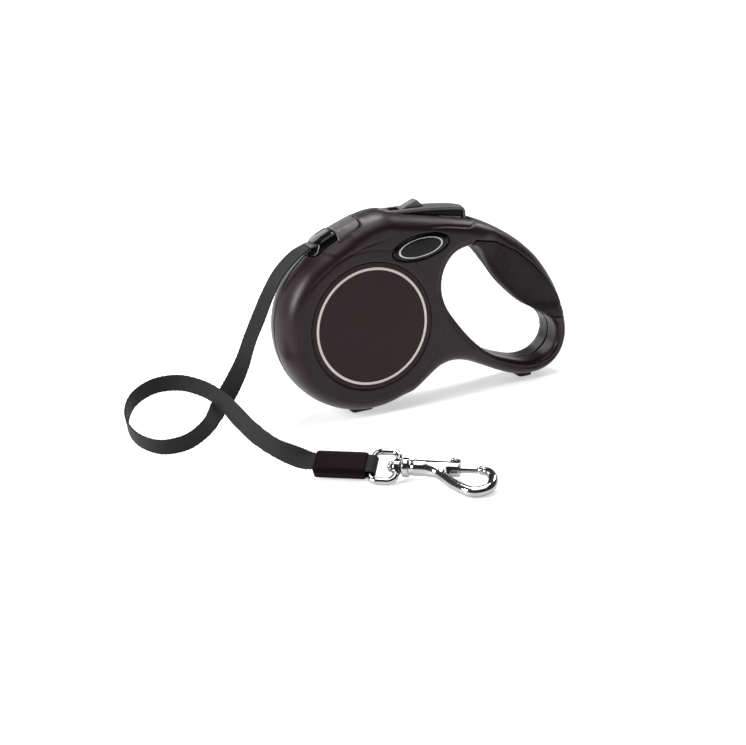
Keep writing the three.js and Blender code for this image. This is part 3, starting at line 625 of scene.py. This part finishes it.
WEBBING_INSIDE = webbing_inside("webbing_inside")


def finish_piece(piece, shade, slot, body, *nodes):
    """Gives a piece its material and its body, and hides the CAD nodes it stands for. The slot is not used.
    """
    piece.data.materials.clear()
    piece.data.materials.append(shade.material)
    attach(piece, body)
    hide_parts(*nodes)
    return piece


# ---------------- camera
def camera():
    data = bpy.data.cameras.new("camera")
    made = bpy.data.objects.new("camera", data)
    bpy.context.scene.collection.objects.link(made)
    a, e, r = (math.radians(v) for v in (AZIMUTH, ELEVATION, ROLL))
    back = Vector((math.sin(a) * math.cos(e), -math.cos(a) * math.cos(e), math.sin(e)))
    right = Vector((math.cos(a), math.sin(a), 0))
    up = back.cross(right)
    x = math.cos(r) * right - math.sin(r) * up
    y = math.sin(r) * right + math.cos(r) * up
    made.matrix_world = Matrix.Translation(Vector(EYE) * MM) @ Matrix((x, y, back)).transposed().to_4x4()
    data.sensor_width = 36
    data.lens = LENS
    data.clip_start = 0.05
    data.clip_end = 100
    bpy.context.scene.camera = made


camera()


# ---------------- end fitting
def fitting_place(roll):
    """Placement of the eye or the hook, turned about the fitting's length by a roll in degrees."""
    yaw = Matrix.Rotation(math.radians(FITTING["yaw"]), 4, "Z")
    return Matrix.Translation(FITTING["at"]) @ yaw @ Matrix.Rotation(math.radians(roll), 4, "X")


EYE_PLACE = fitting_place(FITTING["eye_roll"])
HOOK_PLACE = fitting_place(FITTING["hook_roll"])


def free_tape():
    route = spline(TAPE_ROUTE, 14)
    tape = band("tape", route[:, :3], route[:, 3:], TAPE["width"], TAPE["thickness"], wave=0.28)
    finish_piece(tape, WEBBING, "webbing", "housing", "leash_tape")
    return tape, route[:, :3]


def tape_fold():
    """The tape's fold round the bar of the eye."""
    bar, radius, start = -17.3, 2.2, -19.6
    angles = np.linspace(-math.pi / 2, math.pi / 2, 25)
    bend = [(bar + radius * math.cos(t), radius * math.sin(t)) for t in angles]
    lower = [(start + 0.2 * n, -radius) for n in range(11)]
    upper = [(x, -z) for x, z in lower[::-1]]
    points = np.array([EYE_PLACE @ Vector((x, 0, z)) for x, z in lower + bend + upper])
    sideways = np.tile(np.array(EYE_PLACE.to_3x3() @ Vector((0, 1, 0))), (len(points), 1))
    fold = band("tape_fold", points, sideways, TAPE["width"] - 0.1, TAPE["thickness"] - 0.05, wave=0.2)
    return finish_piece(fold, WEBBING, "webbing", "housing", "tape_loop")


def sleeve_field(x, y, z):
    """Moulded sleeve: flat faces with a ridge along each side and chamfered ends."""
    x = x + 31.95
    bulge = 0.15 * (1 - (x / 12.8) ** 2)
    body = meet(np.abs(y) - 6.5 - bulge, np.abs(z) - 3.2 - bulge, 0.8)
    body = meet(body, (np.abs(y) * 0.62 + np.abs(z) * 0.78) - 5.6, 0.5)
    body = meet(body, np.abs(x) - 12.75, 0.7)
    body = meet(body, (np.abs(x) + np.abs(y)) * 0.7071 - 12.9, 0.6)
    body = meet(body, (np.abs(x) + np.abs(z)) * 0.7071 - 10.95, 0.6)
    mouth = np.maximum(np.abs(y) - 5.2, np.abs(z) - 0.95)
    return cut(body, np.maximum(mouth, 11.2 - np.abs(x)), 0.5)


def eye_field(x, y, z):
    """D-shaped wire ring with a boss that the swivel pin turns in."""
    wire = 1.42 + 0.24 * smooth_step(-15.8, -13.6, x)
    ring = np.hypot(round_rectangle(x + 11.25, y, 6.05, 8.5, 3.6), z) - wire
    boss = plate(np.hypot(y, z) - 3.3, np.abs(x + 5.1) - 1.75, 0.6)
    made = join(ring, boss, 1.6)
    return cut(made, np.hypot(y, z) - 1.75, 0.4)


def hook_bend():
    """Middle line of the hook's bend and the radius at each of its points."""
    line = spline([(x, y, 0) for x, y in HOOK_BEND], 7)
    share = np.linspace(0, 1, len(line))
    return line, 2.25 + 0.25 * np.sin(share * math.pi) - 0.25 * share ** 3


BEND_LINE, BEND_RADIUS = hook_bend()


def hook_field(x, y, z):
    """Barrel with its collar and thumb slot, and the bend that comes round to meet the bolt."""
    r = np.hypot(y, z)
    collar = plate(r - 4.6, np.abs(x + 0.9) - 1.7, 0.9)
    neck = plate(r - 3.5, np.abs(x - 2) - 2.5, 0.4)
    barrel = plate(r - 3.85 + 0.016 * np.maximum(x - 2.5, 0), np.abs(x - 13.6) - 11.1, 0.7)
    body = join(join(collar, neck, 0.5), barrel, 0.8)
    sweep = None
    for a, b, ra, rb in zip(BEND_LINE[:-1], BEND_LINE[1:], BEND_RADIUS[:-1], BEND_RADIUS[1:]):
        part = rod(x, y, z, a, b, ra, rb)
        sweep = part if sweep is None else np.minimum(sweep, part)
    body = join(body, sweep, 2.6)
    body = cut(body, np.maximum(r - 1.85, np.maximum(4.5 - x, x - 33.3)), 0.3)
    body = cut(body, np.maximum(r - 1.8, x - 2.7), 0.3)
    slot = np.maximum(np.abs(z) - 1.35, -y)
    slot = np.maximum(slot, np.maximum(13.6 - x, x - 23.2))
    return cut(body, slot, 0.5)


def bolt_field(x, y, z):
    """Sprung bolt with a domed thumb knob on a stem."""
    r = np.hypot(y, z)
    shaft = plate(r - 1.6, np.abs(x - 23.5) - 9.4, 0.5)
    u = np.hypot(x - 21.5, z)
    stem = plate(u - 1.15, np.abs(y - 2.5) - 2.5, 0.2)
    knob = np.sqrt((u / 2.75) ** 2 + ((y - 4.9) / 2.3) ** 2) * 2.3 - 2.3
    knob = meet(knob, 4.1 - y, 0.4)
    return join(join(shaft, stem, 0.5), knob, 0.5)


def end_fitting():
    """Sleeve, fold, eye, pin, hook and bolt."""
    made = [tape_fold()]
    sleeve = skin("sleeve", sleeve_field, (-46, -8, -5), (-18, 8, 5), 0.3, EYE_PLACE)
    made.append(finish_piece(sleeve, SLEEVE, "sleeve_vinyl", "housing", "tape_sleeve"))
    eye = skin("eye", eye_field, (-19.5, -10.8, -4), (-2.5, 10.8, 4), 0.22, EYE_PLACE)
    made.append(finish_piece(eye, CHROME, "chrome", "eye", "swivel_eye"))
    profile = [(-9.6, 0), (-9.6, 1.7), (-8.7, 2.7), (-7.35, 2.7), (-7.35, 1.5), (2.4, 1.5), (2.4, 0)]
    pin = turned("pin", bevelled(profile, 0.5), 32, HOOK_PLACE)
    made.append(finish_piece(pin, CHROME, "chrome", "hook", "swivel_pin"))
    hook = skin("hook", hook_field, (-3.5, -20.5, -5.5), (45, 5.5, 5.5), 0.26, HOOK_PLACE)
    made.append(finish_piece(hook, CHROME, "chrome", "hook", "hook_body"))
    bolt = skin("bolt", bolt_field, (13, -3, -3.5), (34, 8, 3.5), 0.22, HOOK_PLACE)
    made.append(finish_piece(bolt, CHROME, "chrome", "bolt", "snap_bolt"))
    return made


TAPE_PIECE, TAPE_LINE = free_tape()
FITTING_PIECES = end_fitting()

# ---------------- casing
LOOP = Flat([*spline(LOOP_OUTLINE[2:-1], 9), LOOP_OUTLINE[-1], *LOOP_OUTLINE[:2]])
HOLE = Flat(spline(HAND_HOLE, 8, closed=True))
GRIP_SEAM = Flat(GRIP_REGION)
NOSE = Flat(NOSE_OUTLINE)
CAP_SEAM = Flat(CAP_REGION)
GUIDE_SEAM = Flat(GUIDE_REGION)
WELL = Flat(BUTTON_WELL)
CREASES = [  # line, half width, depth, and the x it fades in over and fades out over
    (Flat(spline(SHOULDER_CREASE, 5), closed=False), 0.45, 0.36, (-41, -26, 2, 17)),
    (Flat(spline(CROWN_CREASE, 5), closed=False), 0.45, 0.5, (32, 40, 57, 59)),
    (Flat(spline(CROWN_TICK, 5), closed=False), 0.45, 0.4, (57, 59, 64, 66)),
]


def half_width(x):
    """Half thickness of the whole casing."""
    low, high, share = TAPER
    return HALF_WIDTH * (1 - (1 - share) * smooth_step(low, high, x))


def outer_form(x, y, z):
    """Drum, crown and hand loop as one soft form, without the hole."""
    drum = np.hypot(x, z - DRUM_Z) - DRUM_RADIUS
    flat = join(drum, LOOP(x, z), 5.0)
    half = half_width(x)
    power = 2 + 0.5 * smooth_step(40, 75, x)
    u = np.maximum(flat + RIM, 0) / RIM
    w = np.abs(y) / half
    reach = (u ** power + w ** power) ** (1 / power)
    scale = (RIM * u ** 2 + half * w ** 2) / (u ** 2 + w ** 2 + 1e-6)
    return (reach - 1) * scale


def nose_form(x, y, z):
    """Crowned nose that the cap and the guide are cut from."""
    return plate(NOSE(x, z + 0.02 * y * y), np.abs(y) - NOSE_HALF_WIDTH, 3.2)


def groove(distance, width, depth):
    """Depth of a soft groove at a distance from its middle."""
    return depth * np.exp(-((distance / width) ** 2))


def gripped(x, z):
    """1 along the soft grip and 0 beyond its ends."""
    return smooth_step(30.5, 44, z) * smooth_step(58, 76, x)


def whole_form(x, y, z):
    """Outer form with the nose, the hand hole's rounded lip and the moulded lines of the faces."""
    form = join(outer_form(x, y, z), nose_form(x, y, z), 3.0)
    soft = gripped(x, z)
    hole = HOLE(x, z) + GRIP_BACK * soft
    form = meet(form, -hole, 5.5)
    nose, growth = GRIP_NOSE
    wedge = nose + growth * np.maximum(hole, 0) + GRIP_FADE * (1 - soft)
    form = meet(form, (np.abs(y) - wedge) * 0.78, 3.0)
    face = smooth_step(7, 10, np.abs(y))
    ring = groove(np.hypot(x, z - DRUM_Z) - STEP_RING["radius"], STEP_RING["width"], STEP_RING["depth"])
    form = form + face * ring * smooth_step(70, 40, x + z * 0.3)
    for line, width, depth, (start, full, ebb, end) in CREASES:
        fade = smooth_step(start, full, x) * smooth_step(end, ebb, x)
        form = form + face * fade * groove(line(x, z), width, depth)
    lip = groove(HOLE(x, z) - LIP_LINE["inset"], LIP_LINE["width"], LIP_LINE["depth"])
    return form + face * lip * smooth_step(-0.5, 1.5, GRIP_SEAM(x, z))


def button_plan(x, y):
    """Distance to the button's outline seen from above: a rounded point in front, square behind."""
    half, shoulder, point = 6.3, 23, 10.3
    ahead = np.clip(shoulder - x, 0, point - 0.1) / point
    return np.abs(y) - half * np.sqrt(np.clip(1 - ahead ** 2, 0.01, 1))


def hollow(x, y, z):
    """Room inside the casing for the spool, the brake and the pieces set into it."""
    radius = np.hypot(x, z - DRUM_Z)
    side = np.abs(y)
    drum = np.maximum(np.maximum(radius - 44.2, side - 12.9), (radius + side) * 0.7071 - 36.98)
    # The button's well is square below and follows the button's outline where it opens.
    mouth = np.minimum(button_plan(x, y) - 0.6, z - 99.8)
    well = np.maximum(WELL(x, z), np.maximum(side - 6.9, mouth))
    pawl = np.maximum(np.maximum(np.abs(x - 35) - 8, np.abs(z - 84) - 12), np.maximum(y - 4, -7.6 - y))
    lead = np.maximum(np.maximum(np.abs(x + 12) - 12, np.abs(z - 88.5) - 4.5), side - 7)
    return np.minimum(np.minimum(drum, well), np.minimum(pawl, lead))


def badge_flat(x, z):
    """Distance to the badge's oval."""
    cos, sin = math.cos(math.radians(BADGE["tilt"])), math.sin(math.radians(BADGE["tilt"]))
    u = (x - BADGE["x"]) * cos + (z - BADGE["z"]) * sin
    v = (z - BADGE["z"]) * cos - (x - BADGE["x"]) * sin
    a, b = u / BADGE["a"], v / BADGE["b"]
    scale = (np.abs(u) + np.abs(v)) / (np.abs(a) + np.abs(b) + 1e-6)
    return (np.hypot(a, b) - 1) * scale


def casing_field(side):
    """One casing half, with pockets for the pieces set into it. The far half has the screw holes."""
    def field(x, y, z):
        form = cut(whole_form(x, y, z), hollow(x, y, z), 0.6)
        face = np.abs(y)
        label = np.hypot(x, z - DRUM_Z) - LABEL["radius"]
        form = cut(form, np.maximum(label - PLAY, 14.4 - face), 0.6)
        form = cut(form, np.maximum(badge_flat(x, z) - 0.3, 14.65 - face), 0.6)
        form = cut(form, GRIP_SEAM(x, z) - GAP, 0.7)
        form = cut(form, np.maximum(CAP_SEAM(x, z) - GAP, face - CAP_HALF_WIDTH - PLAY), 0.6)
        form = cut(form, np.maximum(GUIDE_SEAM(x, z) - GAP, face - GUIDE_HALF_WIDTH - PLAY), 0.6)
        for middle, length, top in FEET.values():
            pad = np.maximum(np.abs(x - middle) - length / 2, face - FOOT_HALF_WIDTH) - PLAY
            form = cut(form, np.maximum(pad, z - top - GAP), 0.3)
        if side > 0:
            for sx, sz in SCREWS.values():
                hole = np.hypot(x - sx, z - sz) - SCREW_HEAD - PLAY
                form = cut(form, np.maximum(hole, 6.3 - y), 0.4)
        return meet(form, GAP - side * y, 0.8)

    return field


def grip_field(x, y, z):
    """Soft grip: the part of the whole form inside its seam, hollow where the casing's core fills it."""
    form = meet(whole_form(x, y, z), GRIP_SEAM(x, z) + GAP, 0.9)
    inner = np.maximum(np.abs(y) - 8.5, 8 - HOLE(x, z))
    return cut(form, np.maximum(inner, GRIP_SEAM(x, z) + 2.5), 0.5)


def nose_cap_field(x, y, z):
    """Cap over the nose, with a channel for the tape below it."""
    form = meet(whole_form(x, y, z), CAP_SEAM(x, z) + GAP, 0.8)
    form = meet(form, np.abs(y) - CAP_HALF_WIDTH, 1.6)
    channel = np.maximum(np.maximum(x, np.abs(y) - 7), z - 94.6)
    return cut(form, channel, 0.4)


def guide_field(x, y, z):
    """Glossy fairlead: a bulged frame with a flared slot, and a polished facet at each front corner."""
    form = meet(whole_form(x, y, z) - 0.25, GUIDE_SEAM(x, z) + GAP, 1.0)
    form = meet(form, np.abs(y) - GUIDE_HALF_WIDTH, 1.8)
    mouth = 91.2 + 0.05 * (x + 22)
    flare = 1.4 + 1.1 * smooth_step(-21.5, -28, x)
    slot = meet(np.abs(z - mouth) - flare, np.abs(y) - 5.8, 0.8)
    facet = 0.46 * (np.abs(y) - 6.9) - 0.76 * (x + 21.5) + 0.46 * (z - 94.2)
    return cut(meet(form, facet, 0.5), slot, 0.8)


def casing():
    """Both halves, the grip, the nose cap and the guide."""
    left = skin("casing_left_shell", casing_field(-1), (-49.5, -17, -0.5), (120.5, 0.7, 106.5), 0.55)
    finish_piece(left, CASING, "casing_plastic", "housing", "casing_left")
    right = skin("casing_right_shell", casing_field(1), (-49.5, -0.7, -0.5), (120.5, 17, 106.5), 0.55)
    finish_piece(right, CASING, "casing_plastic", "housing", "casing_right")
    grip = skin("grip_pad", grip_field, (54, -16, 20), (121, 16, 86), 0.5)
    finish_piece(grip, GRIP, "grip_elastomer", "housing", "soft_grip")
    cap = skin("nose_cap_shell", nose_cap_field, (-14.5, -11.5, 89), (1.5, 11.5, 104), 0.3)
    finish_piece(cap, CAP, "cap_plastic", "housing", "nose_cap")
    guide = skin("fairlead", guide_field, (-29.5, -10, 84), (-12, 10, 101), 0.28)
    finish_piece(guide, GLOSS, "gloss_black", "housing", "outlet_guide")


casing()


# ---------------- label, badge, feet, screws
def side_place(x, z, side):
    """Placement of a turned piece whose axis points out of a side face."""
    return Matrix.Translation((x, 0, z)) @ Matrix.Rotation(math.radians(90 * side), 4, "Z")


def badge_field(side):
    """Oval badge with a domed face."""
    def field(x, y, z):
        flat = badge_flat(x, z)
        dome = BADGE["low"] + BADGE["dome"] * np.sqrt(np.clip(1 - np.exp(flat / 2.2), 0, 1))
        return meet(meet(flat, side * y - dome, 0.35), BADGE["low"] - side * y, 0.2)

    return field


def label_and_badge(name, side):
    """Round label and oval badge in one side face."""
    low, high = LABEL["face"] - LABEL["thickness"], LABEL["face"]
    profile = bevelled([(low, 0), (low, LABEL["radius"]), (high, LABEL["radius"]), (high, 0)], 0.25, 3)
    disc = turned(f"label_{name}", profile, 160, side_place(0, DRUM_Z, side))
    finish_piece(disc, LABEL_SHADE, "label_plastic", "housing", f"label_disc_{name}")
    y = sorted((side * 14.6, side * 17.2))
    badge = skin(f"badge_{name}_dome", badge_field(side), (12.6, y[0], 77.8), (46.4, y[1], 92.8), 0.25)
    finish_piece(badge, BADGE_SHADE, "gloss_black", "housing", f"badge_{name}")


def foot(name, x, length, top):
    """Rubber pad with rounded corners, let into the casing's underside."""
    def field(px, py, pz):
        pad = round_rectangle(px - x, py, length / 2, FOOT_HALF_WIDTH, 2)
        return plate(pad, np.abs(pz - top / 2) - top / 2, 0.5)

    low, high = (x - length / 2 - 1, -7.2, -0.8), (x + length / 2 + 1, 7.2, top + 0.8)
    made = skin(f"{name}_pad", field, low, high, 0.3)
    finish_piece(made, RUBBER, "foot_rubber", "housing", name)


def screw(name, x, z):
    """Countersunk head with a cross recess, at the bottom of its hole."""
    def field(px, py, pz):
        u, v = px - x, pz - z
        r = np.hypot(u, v)
        head = plate(r - SCREW_HEAD, np.abs(py - 7.15) - 0.85, 0.4)
        shank = plate(r - 1.15, np.abs(py) - 7, 0.3)
        a, b = np.abs(u + v) * 0.7071, np.abs(u - v) * 0.7071
        cross = np.minimum(np.maximum(a - 0.38, b - 1.7), np.maximum(b - 0.38, a - 1.7))
        return cut(join(head, shank, 0.4), np.maximum(cross, 7.1 - py), 0.2)

    made = skin(f"{name}_steel", field, (x - 3.2, -7.8, z - 3.2), (x + 3.2, 8.6, z + 3.2), 0.2)
    finish_piece(made, STEEL, "spring_steel", "housing", name)


for side_name, side_sign in (("left", -1), ("right", 1)):
    label_and_badge(side_name, side_sign)
for foot_name, (foot_x, foot_length, foot_top) in FEET.items():
    foot(foot_name, foot_x, foot_length, foot_top)
for screw_name, (screw_x, screw_z) in SCREWS.items():
    screw(screw_name, screw_x, screw_z)

# ---------------- brake button and lock
BUTTON_SIDE = Flat(np.vstack([spline(BUTTON_TOP, 5), BUTTON_UNDER]))
BUTTON_EDGE = Flat(spline(BUTTON_TOP, 5), closed=False)
BUTTON_CROWN = 0.03  # the plate falls off sideways by this times the square of the distance
PLATE_THICKNESS = 1.5


def button_form(x, y, z, inset):
    """The button's side profile and plan, with a crown across it, shrunk by an inset."""
    return meet(BUTTON_SIDE(x, z + BUTTON_CROWN * y * y) + inset, button_plan(x, y) + inset, 0.9)


def thumb_track(x, y, z):
    """Recess in the plate that the lock slides in, and the slot for its stem."""
    track = round_box(x - 28.6, y, z - 107.6, (9.6, 3.5, 5), 0.6)
    return np.minimum(track, np.maximum(np.abs(x - 28) - 4.6, np.abs(y) - 1.8))


def plate_field(x, y, z):
    """Top plate with a raised line round its edge."""
    body = meet(button_form(x, y, z, 0), BUTTON_EDGE(x, z + BUTTON_CROWN * y * y) - PLATE_THICKNESS, 0.6)
    dished = smooth_step(-0.7, -1.2, button_plan(x, y)) * smooth_step(60, 59.3, x) * smooth_step(97, 99, z)
    return cut(body + 0.4 * dished, thumb_track(x, y, z), 0.4)


def skirt_field(x, y, z):
    """Side wall under the plate, set back from its edge; its near-black material is painted shade for the
    gap under the plate.
    """
    body = button_form(x, y, z, 0.95)
    below = PLATE_THICKNESS + 0.05 - BUTTON_EDGE(x, z + BUTTON_CROWN * y * y)
    body = meet(body, below, 0.3)
    return cut(body, thumb_track(x, y, z), 0.3)


def lock_field(x, y, z):
    """Thumb ridge with a long ribbed front and a steep back, on a stem with a keeper below."""
    front = (z - 103) * 0.93 - (x - 25.4) * 0.368
    back = (x - 34.7) * 0.725 + (z - 106.6) * 0.689
    ribs = 0.12 * np.cos((x - 26) * 4.4) * smooth_step(26.5, 28, x) * smooth_step(34, 33, x)
    ridge = meet(meet(front + ribs, back, 0.35), np.abs(y) - 2.8, 0.4)
    ridge = meet(meet(ridge, 102.8 - z, 0.3), np.maximum(x - 38.2, 25 - x), 0.4)
    stem = round_box(x - 30.2, y, z - 100.6, (2, 1.4, 3), 0.2)
    keeper = round_box(x - 30.2, y, z - 97.8, (2, 2.6, 0.5), 0.2)
    return np.minimum(np.minimum(ridge, stem), keeper)


def brake():
    """Thumb button, its skirt and the lock; the skirt is painted near-black as shade under the plate."""
    low, high = (11.5, -7.2, 92.5), (62.5, 7.2, 105.4)
    top = skin("thumb_button", plate_field, low, high, 0.3)
    finish_piece(top, BUTTON, "button_plastic", "brake", "brake_button")
    # The skirt is the button's plastic painted near-black: painted shade under the plate.
    skirt = skin("button_skirt_painted_shade", skirt_field, low, high, 0.35)
    finish_piece(skirt, SKIRT_PAINTED_SHADE, "button_plastic", "brake", "brake_button")
    ridge = skin("thumb_ridge", lock_field, (24, -4.2, 96.2), (39.5, 4.2, 108), 0.22)
    finish_piece(ridge, BUTTON, "button_plastic", "lock", "lock_slide")


brake()

# ---------------- CAD pieces that stay
KEPT = {
    "axle": STEEL,
    "spool_drum": ACETAL,
    "ratchet_flange": ACETAL,
    "tape_winding": WEBBING_INSIDE,
    "mainspring": STEEL,
    "spring_cover": ACETAL,
    "tape_lead": WEBBING_INSIDE,
    "brake_lever": ACETAL,
    "hinge_pin": STEEL,
    "brake_spring": STEEL,
    "bolt_spring": STEEL,
}
for node_name, node_shade in KEPT.items():
    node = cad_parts[node_name]
    node.data.materials.clear()
    node.data.materials.append(node_shade.material)


# ---------------- floor and light
def sky():
    """Pale round the horizon, dimmer overhead and in front, so that metal has something dark to mirror."""
    world = bpy.data.worlds.new("world")
    world.use_nodes = True
    tree = world.node_tree
    split = tree.nodes.new("ShaderNodeSeparateXYZ")
    tree.links.new(tree.nodes.new("ShaderNodeTexCoord").outputs["Generated"], split.inputs[0])
    product = tree.nodes.new("ShaderNodeMath")
    product.operation = "MULTIPLY"
    # Along each axis: where the ramp starts and ends, and its strength at both.
    ramps = {"Z": (0.03, 0.28, 1.0, 0.1), "Y": (-0.7, 0.4, 0.5, 1.0)}
    for number, (axis, values) in enumerate(ramps.items()):
        ramp = tree.nodes.new("ShaderNodeMapRange")
        ramp.interpolation_type = "SMOOTHSTEP"
        tree.links.new(split.outputs[axis], ramp.inputs["Value"])
        for socket, value in zip(("From Min", "From Max", "To Min", "To Max"), values):
            ramp.inputs[socket].default_value = value
        tree.links.new(ramp.outputs["Result"], product.inputs[number])
    tree.links.new(product.outputs[0], tree.nodes["Background"].inputs["Strength"])
    tree.nodes["Background"].inputs["Color"].default_value = (1, 1, 1, 1)
    return world


def studio_floor():
    """Pale floor, wide enough to meet the horizon, that glows a little so that it stays white."""
    half = 40  # metres
    data = bpy.data.meshes.new("floor")
    corners = [(-half, -half, 0), (half, -half, 0), (half, half, 0), (-half, half, 0)]
    data.from_pydata(corners, [], [(0, 1, 2, 3)])
    floor = bpy.data.objects.new("floor", data)
    bpy.context.scene.collection.objects.link(floor)
    shade = Shade("floor", (0.65, 0.65, 0.65), 0.4, Specular_IOR_Level=0.2, Emission_Strength=0.55)
    shade.shader.inputs["Emission Color"].default_value = (1, 1, 1, 1)
    shade.feed("Base Color", shade.mix(shade.noise(8), (0.65, 0.65, 0.65), (0.67, 0.67, 0.67)))
    data.materials.append(shade.material)


def studio_lights():
    """A sun overhead and four soft panels, all turned to the middle of the object."""
    centre = Vector((0, -0.02, 0.05))
    overhead = bpy.data.lights.new("overhead", "SUN")
    overhead.energy = 2.2
    overhead.angle = math.radians(24)
    lamps = [(overhead, (0.2, 0.45, 1.2))]
    for name, spot, size_x, size_y, power in (
        ("key", (-0.95, -0.08, 0.55), 0.2, 0.45, 12.0),
        ("rear", (-0.35, 1.1, 0.58), 1.1, 0.6, 6.2),
        ("top", (-0.05, -0.2, 1.1), 0.8, 0.6, 5.0),
        ("side", (0.95, 0.35, 0.8), 0.3, 0.5, 5.0),
    ):
        panel = bpy.data.lights.new(name, "AREA")
        panel.shape = "RECTANGLE"
        panel.size, panel.size_y, panel.energy = size_x, size_y, power
        lamps.append((panel, spot))
    for light, spot in lamps:
        lamp = bpy.data.objects.new(light.name, light)
        lamp.location = spot
        lamp.rotation_mode = "QUATERNION"
        lamp.rotation_quaternion = (centre - Vector(spot)).to_track_quat("-Z", "Y")
        bpy.context.scene.collection.objects.link(lamp)


studio_floor()
bpy.context.scene.world = sky()
bpy.context.scene.view_settings.view_transform = "Standard"
studio_lights()
